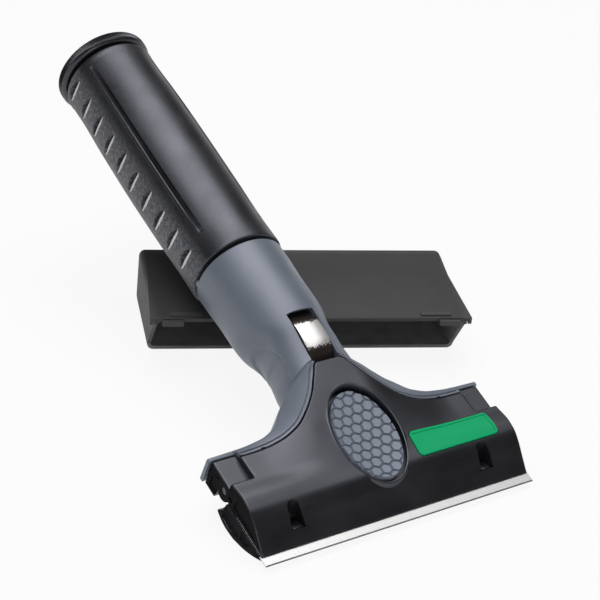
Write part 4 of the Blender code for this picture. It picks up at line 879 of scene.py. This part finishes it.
def build_cover(finish):
    low = -CHEEK_DROP - OVERRUN
    high_half = LAND_SIDE - COVER_WALL
    low_half = HEAD_HALF - CHEEK
    cover = sheet_body(cover_sides(), cover_rows, cover_top, COVER_FLOOR)
    high = sheet_body(spread(-high_half, high_half, 1.9),
                      lambda x: even(BEAM_BACK, cover_rear(x) + OVERRUN, 14),
                      lambda x, y: cover_height(x, min(y, RIDGE_BACK)) - COVER_WALL, low)
    flat = box((-low_half, low_half), (BEAM_BACK, HEAD_BACK + OVERRUN),
               (low, LAND_HEIGHT - COVER_WALL + GAP / 2))
    cover = carve(cover, *cuts(high, flat))
    cover = carve(cover, *adds(*map(cheek, SIDES)), tidy=True)
    tray = oval_body((TRAY_WALL, -TRAY_DEPTH - TRAY_FLOOR, PAD_TILT),
                     (1.15, TRAY_LIP - TRAY_WALL - 0.1, 0.0), (1.0, -0.45, 0.0),
                     (0.85, -0.16, 0.0), (0.65, -0.04, 0.0), (0.45, 0.0, 0.0))
    opening = oval_body((0.0, -TRAY_DEPTH, PAD_TILT), (0.0, -0.32, 0.0), (0.07, -0.14, 0.0),
                        (0.2, -0.04, 0.0), (0.42, 0.02, 0.0), (0.6, OVERRUN, 0.0))
    pocket = plate_solid(GAP, -PLATE_THICKNESS, OVERRUN)
    cover = carve(cover, *adds(tray), *cuts(opening, pocket))
    bore = prism_x(circle(PIN_RADIUS + GAP, 40, HINGE), round_about(0, HEAD_HALF + OVERRUN))
    cover = carve(cover, *cuts(*map(teardrop, SIDES), bore))
    cover = carve(cover, *cuts(*end_marks(-1), *end_marks(1)))
    return settle(cover, "cover_shell", finish, "scraper_body", ["top_cover"], 28)


def build_pad(finish):
    """Dished rubber pad with a honeycomb of crowned studs."""
    radius = (STUD_PITCH - STUD_GAP) / math.sqrt(3)
    slope = math.atan(OVAL_SLOPE)
    middle = -PAD_RECESS - STUD_HEIGHT / 2
    points = []
    for row in range(-6, 7):
        along = row * (STUD_PITCH * math.sqrt(3) / 2)
        for column in range(-4, 5):
            points.append(((column + 0.5 * (row % 2)) * STUD_PITCH,
                           OVAL_BACK + along * math.cos(slope),
                           OVAL_HEIGHT + along * math.sin(slope) + middle - along * PAD_TILT))
    studs = grow(points, stud_tree(), {
        "Foot Radius": radius + 0.14, "Top Radius": radius - 0.38, "Height": STUD_HEIGHT,
        "Tilt": math.atan(OVAL_SLOPE - PAD_TILT), "Crown": 0.22, "Finish": finish})
    reach = -PAD_MARGIN - 0.02
    trim = oval_body((reach, -TRAY_DEPTH, PAD_TILT), (reach, -PAD_RECESS - 0.4, PAD_TILT),
                     (reach - 0.35, -PAD_RECESS + 0.3, PAD_TILT))
    studs = carve(studs, ("INTERSECT", trim))
    base = oval_body((-PAD_MARGIN, -TRAY_DEPTH + GAP, PAD_TILT),
                     (-PAD_MARGIN, -PAD_RECESS - 0.66, PAD_TILT),
                     (-PAD_MARGIN - 0.2, -PAD_RECESS - 0.5, PAD_TILT))
    pad = carve(base, *adds(studs))
    for vertex in pad.data.vertices:
        x, y, z = vertex.co
        along = (y - OVAL_BACK) / math.cos(slope)
        depth = z - OVAL_HEIGHT - along * (math.sin(slope) - PAD_TILT)
        free = clamp((depth + TRAY_DEPTH - GAP - 0.05) / 0.4)
        out = (x / OVAL_HALF_WIDTH) ** 2 + (along / OVAL_HALF_LENGTH) ** 2
        vertex.co.z += free * (PAD_DISH * min(out, 1.0) - 0.25)
    return settle(pad, "pad_base", finish, "scraper_body", ["thumb_pad"], 50)


def build_plate(finish):
    """Bare plate whose rim stands a little above its field."""
    plate = plate_solid(0.0, -PLATE_THICKNESS + GAP, PLATE_PROUD)
    field = plate_solid(-PLATE_RIM, PLATE_PROUD - PLATE_SUNK, OVERRUN)
    plate = soften(carve(plate, *cuts(field)), 0.12, 40)
    return settle(plate, "name_plate", finish, "scraper_body", ["label_plate"], 40)


# Grey frame

def hollow_dip(y, z):
    """Depth of the finger hollow: crisp at its rear arc, fading toward the head."""
    across = z + 0.3
    along = y - HOLLOW_BACK
    far = math.hypot(along, across) if along > 0 else abs(across)
    dip = 0.0
    if along > 0:
        dip = 1.1 * smooth(clamp((17.5 - far) / 7.5)) * clamp((along - 2) / 5)
    if along > -4:
        dip += 0.4 * math.exp(-((far - HOLLOW_RADIUS) / 0.4) ** 2) * clamp((along + 4) / 5)
    if far > HOLLOW_RADIUS:
        return dip
    fade = 1.0 if along > 0 else max(1 + along / 15, 0.0) ** 1.2
    edge = min((HOLLOW_RADIUS - far) / 0.5, 1.0)
    bowl = 0.5 + 0.5 * math.sqrt(max(1 - (far / HOLLOW_RADIUS) ** 2, 0.0))
    return dip + HOLLOW_DEPTH * fade * bowl * edge


def neck_body():
    steps = 176
    places = spread(NECK_FRONT, 61.6, 0.55) + spread(62.0, 74.0, 0.3)
    places += spread(74.4, NECK_BACK - 0.6, 0.55)
    rings = []
    for y in places + [NECK_BACK - d for d in (0.42, 0.26, 0.12, 0.03, 0.0)]:
        wide, rise, drop = section(NECK, (y - NECK_FRONT) / (NECK_BACK - NECK_FRONT), NECK_RADIUS)
        edge = roll(NECK_BACK - y, 0.6)
        ring = []
        for i in range(steps):
            angle = 2 * math.pi * i / steps
            height = (rise if math.sin(angle) > 0 else drop) - edge
            x = (wide - edge) * math.cos(angle)
            z = AXIS_HEIGHT + height * math.sin(angle)
            dip = hollow_dip(y, z) * clamp(abs(math.cos(angle)) * 2.4 - 0.7)
            ring.append((x - math.copysign(dip, x), y, z))
        rings.append(ring)
    return loft(rings)


def rim_stretch(x):
    """How much longer the rim's slanting border is than its width across."""
    return math.sqrt(1 + ((cover_rear(x + 0.1) - cover_rear(x - 0.1)) / 0.2) ** 2)


def wing_surface(x, y):
    """The rim's top with the bead that runs along its inner border."""
    height = wing_top(x, y)
    inner = cover_rear(x)
    width = wing_outer(x) - inner
    if y > inner + GAP and width > 2.6 and abs(x) < LAND_SIDE - 1:
        far = (y - inner) / rim_stretch(x)
        share = min((width - 2.6) / 1.2, 1.0)
        if 1.05 < far < 1.6:
            height -= 0.55 * share * math.sin(math.pi * (far - 1.05) / 0.55)
        elif far <= 1.05:
            height -= 0.22 * share
    return height


def wing_rows(x):
    inner = cover_rear(x)
    outer = wing_outer(x)
    width = outer - inner
    reach = min(1.9 * rim_stretch(x), width * 0.75)
    bead = [inner + reach * i / 22 for i in range(1, 23)]
    last = outer - min(0.7, width * 0.2)
    return (even(FRAME_FRONT, inner, 8) + bead + even(bead[-1], last, 14)[1:]
            + [outer - (outer - last) * d for d in (0.55, 0.3, 0.12, 0.03, 0.0)])


def frame_sides():
    edge = [FRAME_HALF - d for d in (0.5, 0.3, 0.15, 0.05, 0.0)]
    return mirrored(spread(0, FRAME_HALF - 0.9, 0.7) + edge)


def seat_cutters():
    """Room for the cover's skirt, its lands and its end walls."""
    start = FRAME_FRONT - OVERRUN
    above = RIDGE_HEIGHT + OVERRUN
    half = LAND_SIDE - COVER_WALL - GAP
    made = [sheet_body(spread(-half, half, 0.7),
                       lambda x: even(start, cover_rear(max(abs(x) - GAP, 0)) + GAP, 14),
                       lambda x, y: above,
                       lambda x, y: cover_height(x, min(y, RIDGE_BACK)) - COVER_WALL - GAP)]
    for sign in SIDES:
        far = FRAME_HALF + OVERRUN
        made += [box(sided(sign, LAND_SIDE - GAP, far), (start, HEAD_BACK + GAP),
                     (LAND_HEIGHT - COVER_WALL - GAP / 2, above)),
                 box(sided(sign, half - GAP, LAND_SIDE - GAP / 2),
                     (start - 1, cover_rear(LAND_SIDE - 1) + GAP),
                     (LAND_HEIGHT - COVER_WALL - GAP, above + 1)),
                 box(sided(sign, HEAD_HALF - CHEEK - GAP, far), (start, HEAD_BACK + GAP),
                     (-FRAME_DROP - OVERRUN, above))]
    return made


def neck_crease(sign):
    """Thin round cutter along the line where the neck goes into a wing's outer edge."""
    rings = []
    for i, x in enumerate(even(4.6, 13.6, 24)):
        y = wing_outer(x)
        wide, rise, _ = section(NECK, (y - NECK_FRONT) / (NECK_BACK - NECK_FRONT), NECK_RADIUS)
        z = AXIS_HEIGHT + rise * math.sqrt(max(1 - (x / wide) ** 2, 0.0))
        z = min(z, wing_edge_height(x) - 0.3)
        radius = 0.22 + 0.4 * i / 24
        rings.append([(sign * (x + 0.3 * radius), y + 0.3 * radius + radius * a, z + radius * b)
                      for a, b in circle(1.0, 8)])
    return loft(rings)


def window_cutters():
    """The leaf's window, the undercut for its tip and the seat for its foot."""
    half = WINDOW_WIDTH / 2
    high = AXIS_HEIGHT + NECK_RADIUS + OVERRUN
    under = (WINDOW_BACK - 3, WINDOW_BACK + 4.3)
    return [box((-half, half), (WINDOW_FRONT, WINDOW_BACK), (AXIS_HEIGHT, high)),
            box(round_about(0, half - 0.01), under, (AXIS_HEIGHT, 16.25)),
            box((-3.5, 3.5), under, (AXIS_HEIGHT, 16.85)),
            box(round_about(0, half - 0.15), (LEAF_PIVOT_BACK - 2.6, WINDOW_FRONT + 3),
                (LEAF_SEAT_HEIGHT - LEAF_THICKNESS, high))]


def build_frame(finish):
    wings = sheet_body(frame_sides(), wing_rows, wing_surface, frame_floor)
    made = carve(wings, *adds(neck_body()))
    spigot = cone_y((NECK_BACK - OVERRUN, SPIGOT_RADIUS), (NECK_BACK + SPIGOT_LENGTH, SPIGOT_RADIUS))
    keys = [soften(box(sided(sign, CORE_RADIUS + GAP, NECK_RADIUS - 2 * GAP),
                       (NECK_BACK - 2.0, GRIP_FRONT - GAP), (AXIS_HEIGHT - 2.2, AXIS_HEIGHT)), 0.25)
            for sign in SIDES]
    made = carve(made, *adds(spigot, *keys))
    back = NECK_BACK + SPIGOT_LENGTH + OVERRUN
    bore = cone_y((BORE_FRONT, BORE_TIP_RADIUS), (back, bore_radius(back)))
    tray = oval_body((TRAY_WALL + GAP, -TRAY_DEPTH - TRAY_FLOOR - GAP, PAD_TILT),
                     (TRAY_WALL + GAP, OVERRUN, 0.0))
    made = carve(made, *cuts(bore, tray, *seat_cutters()))
    holes = []
    for x, y in SCREWS:
        floor = frame_floor(x, y)
        holes += [prism_z(circle(SCREW_HOLE_RADIUS, 24, (x, y)), (floor - OVERRUN, RIDGE_HEIGHT)),
                  prism_z(circle(SCREW_RECESS_RADIUS, 40, (x, y)),
                          (floor - OVERRUN, floor + SCREW_RECESS_DEPTH))]
    made = carve(made, *cuts(*window_cutters(), *map(neck_crease, SIDES), *holes))
    return settle(made, "grey_frame", finish, "scraper_body",
                  ["handle_frame"], 30)


def build_screws(finish):
    points = [(x, y, frame_floor(x, y) + 0.75) for x, y in SCREWS]
    screws = grow(points, screw_tree(), {**SCREW_SIZES, "Finish": finish})
    return settle(screws, "head_screws", finish, "scraper_body",
                  [f"cover_screw_{i}" for i in range(1, 5)])


def build_leaf(finish):
    """Bent strip, thick at right angles to its own line, with its rivet hole."""
    steps = 56
    start = LEAF_PIVOT_BACK - 2.0
    half = LEAF_THICKNESS / 2
    base = LEAF_SEAT_HEIGHT + half
    line = [(start + (LEAF_BACK - start) * i / steps, base + LEAF_RISE * curve(LEAF, i / steps))
            for i in range(steps + 1)]
    upper = []
    lower = []
    for i, (y, z) in enumerate(line):
        before = line[max(i - 1, 0)]
        after = line[min(i + 1, steps)]
        run = Vector((after[0] - before[0], after[1] - before[1])).normalized()
        upper.append((y - run.y * half, z + run.x * half))
        lower.append((y + run.y * half, z - run.x * half))
    leaf = prism_x(upper + list(reversed(lower)), round_about(0, LEAF_WIDTH / 2))
    hole = prism_z(circle(RIVET_HOLE_RADIUS, 32, (0, LEAF_PIVOT_BACK)),
                   round_about(LEAF_SEAT_HEIGHT, OVERRUN))
    leaf = soften(carve(leaf, *cuts(hole)), 0.1, 50)
    # Painted shade toward both ends of the window
    end_shade = leaf.data.attributes.new("end_shade", "FLOAT", "POINT")
    for vertex, value in zip(leaf.data.vertices, end_shade.data):
        y = vertex.co.y
        value.value = clamp(max((y - 68.3) / 2.4, (61.8 - y) / 2.4))
    return settle(leaf, "bent_leaf", finish, "lock_leaf_body", ["lock_leaf"], 35)


# Grip, ring and socket

def from_crease(degrees):
    """Degrees from the nearer crease: how far, and how far up from it toward the top."""
    right, left = CREASES
    side = degrees - right if degrees < 90 else left - degrees
    return min(abs(degrees - right), abs(degrees - left)), side


def grip_directions():
    """Directions round the grip, close together at both creases."""
    fine = [s * d for d in (0.6, 1.3, 2.0, 2.5, 2.9, 3.3, 3.6, 4.2, 4.8, 5.3, 5.9) for s in SIDES]
    angles = {round(crease + step, 3) for crease in CREASES for step in fine + [0.0]}
    coarse = {step / 10 for step in range(0, 3600, 22)}
    return sorted(angles | {degrees for degrees in coarse if from_crease(degrees)[0] > 6.6})


def grip_places():
    """Places along the grip, close together at its ends and in the scoops."""
    places = [GRIP_FRONT + d for d in (0.0, 0.04, 0.14, 0.3, 0.5)]
    places += [GRIP_BACK - d for d in (0.0, 0.05, 0.18, 0.4, 0.7)]
    places += spread(GRIP_FRONT + 0.9, GRIP_FRONT + 6.4, 0.9)
    for row in range(SCOOPS):
        middle = SCOOP_START + row * SCOOP_PITCH
        places += even(middle - 1.9, middle + 1.9, 19)
        places += [middle + d for d in (2.6, 3.6, 4.585, 5.57, 6.57) if middle + d < GRIP_BACK - 1]
    return sorted({round(y, 4) for y in places})


def scoop_place(y, z):
    """Place across the finger scoop at a point of the side, from -1 in front to 1 behind."""
    row = round((y - SCOOP_START) / SCOOP_PITCH)
    high = z - AXIS_HEIGHT - 1.1
    tall = high / SCOOP_HALF_HEIGHT
    if not 0 <= row < SCOOPS or abs(tall) >= 1:
        return 1.0, 0.0
    wide = SCOOP_HALF_WIDTH * math.sqrt(1 - tall * tall)
    along = y - SCOOP_START - row * SCOOP_PITCH + 0.09 * high
    return max(min(along / wide, 1.0), -1.0), wide


def scoop_dip(y, z):
    """Finger scoop: a flat front wall, then a steep-sided slot."""
    place, wide = scoop_place(y, z)
    return curve(SCOOP_WALLS, place) * wide / SCOOP_HALF_WIDTH


def crease_dip(degrees, share):
    """Groove between the top panel and the side panels, with a fine rib beside it."""
    ends = min(clamp((share - 0.10) / 0.16), max((0.965 - share) / 0.14, 0.0))
    away, side = from_crease(degrees)
    if away > 6:
        return 0.0
    groove = CREASE_DEPTH * ends * max(1 - abs((side - 0.5) / 3.0) ** 3, 0.0)
    ribs = math.exp(-((side + 3.4) / 0.7) ** 2) + 0.6 * math.exp(-((side + 5.2) / 0.6) ** 2)
    return groove - 0.16 * ends * ribs


def build_grip(finish):
    span = GRIP_BACK - GRIP_FRONT
    directions = grip_directions()
    rings = []
    for y in grip_places():
        share = (y - GRIP_FRONT) / span
        wide, rise, drop = section(GRIP, share, GRIP_RADIUS)
        edge = roll(y - GRIP_FRONT, 0.5) + roll(GRIP_BACK - y, 0.7)
        ring = []
        for degrees in directions:
            angle = math.radians(degrees)
            dip = edge + crease_dip(degrees, share)
            z = AXIS_HEIGHT + (rise if math.sin(angle) > 0 else drop) * math.sin(angle)
            if abs(math.cos(angle)) > 0.7:
                dip += scoop_dip(y, z)
            reach = 1 - dip / GRIP_RADIUS
            ring.append((wide * reach * math.cos(angle), y, AXIS_HEIGHT + (z - AXIS_HEIGHT) * reach))
        rings.append(ring)
    inner = CORE_RADIUS + GAP
    for y in (GRIP_BACK, GRIP_FRONT):
        rings.append([(inner * math.cos(math.radians(degrees)), y,
                       AXIS_HEIGHT + inner * math.sin(math.radians(degrees)))
                      for degrees in directions])
    grip = loft(rings, True)
    marks = {"pebble": [], "crease": [], "scoop_highlight": []}
    for vertex in grip.data.vertices:
        x, y, z = vertex.co
        away, side = from_crease(math.degrees(math.atan2(z - AXIS_HEIGHT, x)) % 360)
        place = scoop_place(y, z)[0] if abs(x) > 9 else 1.0
        groove = -2.9 < side < 3.4 and 0.12 < (y - GRIP_FRONT) / span < 0.95
        # Pebbling grows away from the creases; the pale specks it brings there are partly painted light
        marks["pebble"].append(0.10 if side > -12 else min(0.10 + (away - 12) / 26, 1.0))
        marks["crease"].append(1.0 if 0.2 < place < 0.99 or groove else 0.0)
        # Front walls of the scoops, which carry a painted highlight
        marks["scoop_highlight"].append(1.0 if -0.99 < place < 0.2 else 0.0)
    for name, values in marks.items():
        grip.data.attributes.new(name, "FLOAT", "POINT").data.foreach_set("value", values)
    return settle(grip, "rubber_grip", finish, "scraper_body", ["grip_sleeve"], 38)


def build_collar(finish):
    """Ring with fine ribs round its rear edge, smooth toward the grip."""
    lip, top, front, back = COLLAR_LIP_RADIUS, COLLAR_RADIUS, COLLAR_FRONT, HANDLE_BACK
    profile = ((lip, front), (top - 1.5, front), (top - 1.1, front + 0.1), (top - 0.55, front + 0.55),
               (top - 0.25, front + 1.0), (top - 0.12, front + 1.35), (top - 0.02, front + 1.5, 1),
               (top, front + 1.7, 1), (top, back - 0.45, 1), (top - 0.12, back - 0.2, 1),
               (top - 0.4, back - 0.03), (top - 0.7, back), (lip + 0.3, back), (lip, back - 0.25),
               (lip, COLLAR_MIDDLE + 1.1), (lip + 0.5, COLLAR_MIDDLE + 0.7),
               (lip + 0.5, COLLAR_MIDDLE - 0.7), (lip, COLLAR_MIDDLE - 1.1))
    ring = turned(profile, COLLAR_RIBS * len(RIB_WAVES), RIB_WAVES)
    return settle(ring, "ribbed_ring", finish, "end_collar_body", ["end_collar"], 30)


def build_socket(finish):
    front = NECK_BACK + GAP
    end = NECK_BACK + SPIGOT_LENGTH + GAP
    seat = COLLAR_LIP_RADIUS - GAP
    back = HANDLE_BACK - GAP
    bead = ((0.0, -0.8), (0.35, -0.55), (0.5, -0.2), (0.5, 0.2), (0.35, 0.55), (0.0, 0.8))
    profile = ((SPIGOT_RADIUS + GAP, front), (CORE_RADIUS, front), (CORE_RADIUS, COLLAR_FRONT - GAP),
               (seat, COLLAR_FRONT - GAP),
               *((seat + out, COLLAR_MIDDLE + along) for out, along in bead),
               (seat, back - 0.3), (seat - 0.3, back), (bore_radius(back) + 0.35, back),
               (bore_radius(back), back - 0.35), (bore_radius(end), end), (SPIGOT_RADIUS + GAP, end))
    return settle(turned(profile, 96), "tapered_socket", finish, "scraper_body",
                  ["socket_tube"])


# Jaw

def jaw_outline():
    run = BELLY_BACK - EDGE_BARE
    low = [(EDGE_BARE + run * i / 26, -JAW_TOP - curve(JAW_BELLY, i / 26) * (BELLY_DROP - JAW_TOP))
           for i in range(27)]
    heel = [(BELLY_BACK + 1.4, 0.978), (24.45, 0.95), (JAW_BACK - 0.9, 0.87), (JAW_BACK, 0.82),
            (JAW_BACK - 0.2, 0.72), (25.4, 0.51)]
    return (low + [(y, -BELLY_DROP * share) for y, share in heel]
            + [(JAW_HEEL_BACK, -JAW_TOP), (EDGE_BARE, -JAW_TOP)])


def build_jaw(finish):
    jaw = prism_x(jaw_outline(), (-HEAD_HALF, HEAD_HALF))
    fields = []
    hooks = []
    for sign in SIDES:
        face = sided(sign, HEAD_HALF - 0.3, HEAD_HALF + OVERRUN)
        middle = sign * HOOK_PLACE
        fields += [prism_x([(8.4, -1.3), (14.6, -1.3), (14.6, -5.3), (11.6, -4.4)], face),
                   prism_x([(15.3, -1.3), (23.4, -1.3), (24.2, -4.4), (24.6, -6.7), (20.0, -7.1),
                            (15.3, -5.6)], face)]
        post = prism_x([(8.3, -2.8), (12.1, -2.8), (12.1, 0.5), (11.6, 0.9), (7.6, 3.25),
                        (7.45, 2.6), (8.3, 1.2)], round_about(middle, HOOK_WIDTH / 2))
        hooks += [soften(post, 0.15),
                  prism_x([(7.5, 1.4), (11.9, 0.6), (11.9, 0.75), (7.5, 2.7)],
                          round_about(middle, 2.2))]
    jaw = soften(carve(jaw, *cuts(*fields)), 0.18, 28)
    knuckle = (-KNUCKLE_HALF, KNUCKLE_HALF)
    web = [(19.4, -0.55), (24.3, -3.78), (27.8, -0.64), (26.5, 3.78), (22.0, -0.25)]
    jaw = carve(jaw, *adds(prism_x(circle(KNUCKLE_RADIUS, 48, HINGE), knuckle),
                           prism_x(web, knuckle), *hooks))
    pocket = box(round_about(0, HOOK_PLACE - 2 * HOOK_WIDTH), (7.5, 18.6),
                 (-BELLY_DROP * 0.55, OVERRUN))
    bore = prism_x(circle(PIN_RADIUS + 0.35, 40, HINGE), (-HEAD_HALF, HEAD_HALF))
    jaw = carve(jaw, *cuts(pocket, bore))
    return settle(jaw, "clamping_jaw", finish, "clamp_jaw", ["lower_jaw"], 30)


def build_blade(finish):
    """Ground blade, full width at its bare edge and a little narrower inside the head."""
    lower = [(0, -0.04), (0.4, -BLADE_FLAT), (BLADE_DEPTH, -BLADE_FLAT)]
    outline = lower + [(y, -z) for y, z in reversed(lower)]
    trims = [box(sided(sign, BLADE_INNER_HALF, BLADE_HALF + OVERRUN), (3.9, 25), (-1, 1))
             for sign in SIDES]
    slots = [box(round_about(sign * HOOK_PLACE, 2.6), (7.3, 13.1), (-1, 1)) for sign in SIDES]
    blade = carve(prism_x(outline, (-BLADE_HALF, BLADE_HALF)), *cuts(*trims, *slots))
    return settle(blade, "ground_blade", finish, "clamp_jaw", ["blade"], 4)


# Blade guard

def guard_shell(inset, mouth_extra):
    """Open box with rounded edges, its sides drawing in toward its closed rear."""
    high = GUARD_HEIGHT - inset
    back = GUARD_DEPTH - inset
    side_mouth = GUARD_MOUTH_HALF - GUARD_EAVE - inset
    side_closed = GUARD_CLOSED_HALF - inset
    corner = max(GUARD_ROUND - inset, GUARD_ROUND / 4)

    def ring(y, half, draw=0.0):
        outline = []
        for sx, sz, start in ((1, 1, 0), (-1, 1, 90), (-1, -1, 180), (1, -1, 270)):
            centre_x = sx * (half - corner)
            centre_z = high - corner if sz > 0 else inset + corner
            for i in range(11):
                angle = math.radians(start + 9 * i)
                outline.append((centre_x + (corner - draw) * math.cos(angle), y,
                                centre_z + (corner - draw) * math.sin(angle)))
        return outline

    slope = (side_mouth - side_closed) / GUARD_DEPTH
    rings = [ring(-mouth_extra, side_mouth + slope * mouth_extra),
             ring(back - 2 * corner, side_closed)]
    for i in range(1, 7):
        turn = math.radians(15 * i)
        rings.append(ring(back - corner * (1 - math.sin(turn)),
                          side_closed, 0.55 * corner * (1 - math.cos(turn))))
    return loft(rings)


def build_guard(finish):
    """Guard with an eave over its mouth, small brims at its corners and two snap lips."""
    closed = GUARD_CLOSED_HALF - GUARD_ROUND
    rear = GUARD_DEPTH - GUARD_ROUND
    roof = prism_z([(-GUARD_MOUTH_HALF, 0), (GUARD_MOUTH_HALF, 0), (closed, rear), (-closed, rear)],
                   (GUARD_HEIGHT - GUARD_WALL, GUARD_HEIGHT))
    brims = []
    lips = []
    for sign in SIDES:
        brims.append(box(sided(sign, GUARD_MOUTH_HALF - GUARD_WALL, GUARD_MOUTH_HALF - SLIVER),
                         (SLIVER, 2.4), (GUARD_HEIGHT - 2.3, GUARD_HEIGHT - 0.6)))
        lips += [box(round_about(sign * GUARD_LIP_PLACE, 3.5), (-1.4, 1.2),
                     (GUARD_HEIGHT - 2.2, GUARD_HEIGHT - 0.5)),
                 box(round_about(sign * GUARD_BAR_PLACE, 5.25), (1.3, 3.3),
                     round_about(GUARD_HEIGHT, 0.6))]
    low_front = prism_x([(-OVERRUN, -OVERRUN), (-OVERRUN, 17.6), (1.2, 17.6), (GUARD_SETBACK, 2.2),
                         (GUARD_SETBACK, -OVERRUN)], (-2 * GUARD_MOUTH_HALF, 2 * GUARD_MOUTH_HALF))
    guard = carve(guard_shell(0.0, 0.0), *adds(roof, *brims),
                  *cuts(guard_shell(GUARD_WALL, OVERRUN), low_front), *adds(*lips))
    wall = GUARD_WALL * 0.9
    side = GUARD_MOUTH_HALF - GUARD_EAVE - GUARD_WALL / 2
    # Inside faces, which get the painted light
    within = []
    for face in guard.data.polygons:
        x, y, z = face.center
        within.append(1.0 if abs(x) < side and 3.6 < y < GUARD_DEPTH - wall
                      and wall < z < GUARD_HEIGHT - wall else 0.0)
    guard.data.attributes.new("inside", "FLOAT", "FACE").data.foreach_set("value", within)
    return settle(guard, "push_on_guard", finish, "guard_body", ["blade_guard"],
                  34, GUARD)


# Stage, light and camera

def dress(node, finish):
    """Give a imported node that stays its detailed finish."""
    for slot in frame["nodes"][node].material_slots:
        slot.material = finish


def lay_floor():
    """Pale floor that looks white to the camera and still takes the shadow."""
    shape = bmesh.new()
    bmesh.ops.create_grid(shape, x_segments=1, y_segments=1, size=3.0)
    floor = from_shape(shape)
    floor.name = "floor"
    made, tree, shader = new_material("pale_floor", {
        "Base Color": (0.80, 0.80, 0.80, 1), "Roughness": 0.9, "Specular IOR Level": 0.0})
    rays = add_node(tree, "ShaderNodeLightPath").outputs
    seen = calc(tree, "MAXIMUM", rays["Is Camera Ray"], rays["Is Glossy Ray"])
    seen = calc(tree, "MAXIMUM", seen, rays["Is Transmission Ray"])
    glow = add_node(tree, "ShaderNodeEmission").outputs["Emission"]
    blend = add_node(tree, "ShaderNodeMixShader", {
        "Fac": times(tree, seen, 0.9), 1: shader.outputs["BSDF"], 2: glow})
    feed(tree.nodes["Material Output"], {"Surface": blend.outputs["Shader"]})
    floor.data.materials.append(made)


def light_world():
    """White round the horizon, as the sweep of a studio, and dark overhead."""
    world = bpy.data.worlds.new("studio")
    bpy.context.scene.world = world
    world.use_nodes = True
    tree = world.node_tree
    height = axes_of(tree, add_node(tree, "ShaderNodeTexCoord").outputs["Generated"])["Z"]
    strength = map_range(tree, height, 0.05, 0.18, 1.0, 0.05)
    strength.node.interpolation_type = "SMOOTHSTEP"
    feed(tree.nodes["Background"], {"Color": WHITE, "Strength": strength})


def lamp(name, place, size, power, depth=None):
    """Soft lamp that faces the middle of the scraper, square unless it has a depth."""
    light = bpy.data.lights.new(name, "AREA")
    light.energy = power
    light.size = size
    if depth:
        light.shape = "RECTANGLE"
        light.size_y = depth
    made = put(name, light)
    made.location = place
    aim = Vector((0, 0, 0.03)) - Vector(place)
    made.rotation_euler = aim.to_track_quat("-Z", "Y").to_euler()


def place_camera():
    """Camera that was fitted to the photograph in the scraper's level frame."""
    lens = bpy.data.cameras.new("photo_camera")
    lens.lens = 129.0
    lens.sensor_width = 36.0
    lens.clip_start = 0.01
    made = put("photo_camera", lens)
    axes = Matrix(((0.8318, -0.4901, 0.2607), (0.2089, 0.7115, 0.6706), (-0.5142, -0.5032, 0.6943)))
    turn = (SCRAPER.to_3x3() * 1000.0) @ axes.transposed()
    place = SCRAPER @ Vector((-347.3, -264.4, 489.4))
    made.matrix_world = Matrix.Translation(place) @ turn.to_4x4()
    bpy.context.scene.camera = made


# Colour, roughness, grain size, mottle, wear, depth of grain and shine
black = moulded("black_plastic_satin", (0.0045, 0.0045, 0.0055), 0.37, 2600.0, 0.35, 0.06, 0.30, 1.0)
end_black = moulded("black_plastic_rough", (0.004, 0.004, 0.005), 0.62, 2200.0, 0.30, 0.0, 0.45, 0.05)
ring_black = moulded("ring_black_satin", (0.0045, 0.0045, 0.005), 0.34, 3000.0, 0.25, 0.06, 0.15, 0.8)
grey = moulded("blue_grey_satin", (0.138, 0.158, 0.196), 0.42, 2800.0, 0.10, 0.10, 0.18, 0.85)
pad_grey = moulded("blue_grey_pad_rubber", (0.175, 0.205, 0.260), 0.46, 2200.0, 0.22, 0.20, 0.35, 0.7)
green = moulded("plain_green_plate", (0.0, 0.40, 0.15), 0.42, 2600.0, 0.06, 0.0, 0.08, 0.2, WHITE)
dark = moulded("guard_grey_matte", (0.050, 0.050, 0.051), 0.60, 2400.0, 0.30, 0.08, 0.35, 0.3, WHITE)
# Painted light inside the guard
painted_light_inside(dark)
grip_black = moulded("grip_soft_black", (0.0045, 0.0045, 0.0055), 0.38, 2600.0, 0.35, 0.06, 0.3, 1.0)
# Pebbled sides, and a painted highlight on the scoops' front walls
pebble(grip_black)
steel = brushed("blade_brushed_steel", (0.66, 0.66, 0.66), 0.36, (1.0, 0.04, 0.04))
pin_steel = brushed("pin_dark_steel", (0.10, 0.10, 0.10), 0.45, (0.04, 1.0, 1.0))
spring = brushed("leaf_scratched_steel", (0.90, 0.88, 0.86), 0.36, (1.0, 0.10, 0.10), 1500.0, 0.4)
# Painted shade at the leaf's ends
shade_leaf_ends(spring)

dress("jaw_hinge_pin", pin_steel)
dress("leaf_rivet", steel)
dull_ends(build_cover(black), end_black)
build_pad(pad_grey)
build_plate(green)
build_frame(grey)
build_screws(steel)
build_leaf(spring)
build_grip(grip_black)
build_collar(ring_black)
build_socket(ring_black)
dull_ends(build_jaw(black), end_black)
build_blade(steel)
build_guard(dark)

lay_floor()
light_world()
lamp("overhead_softbox", (-0.08, 0.13, 1.02), 1.5, 10.3, 0.56)
lamp("front_softbox", (0.42, -0.28, 0.96), 0.9, 1.5, 0.26)
lamp("low_front_light", (-0.30, -1.0, 0.30), 0.4, 1.3)
place_camera()
bpy.context.scene.view_settings.view_transform = "Standard"
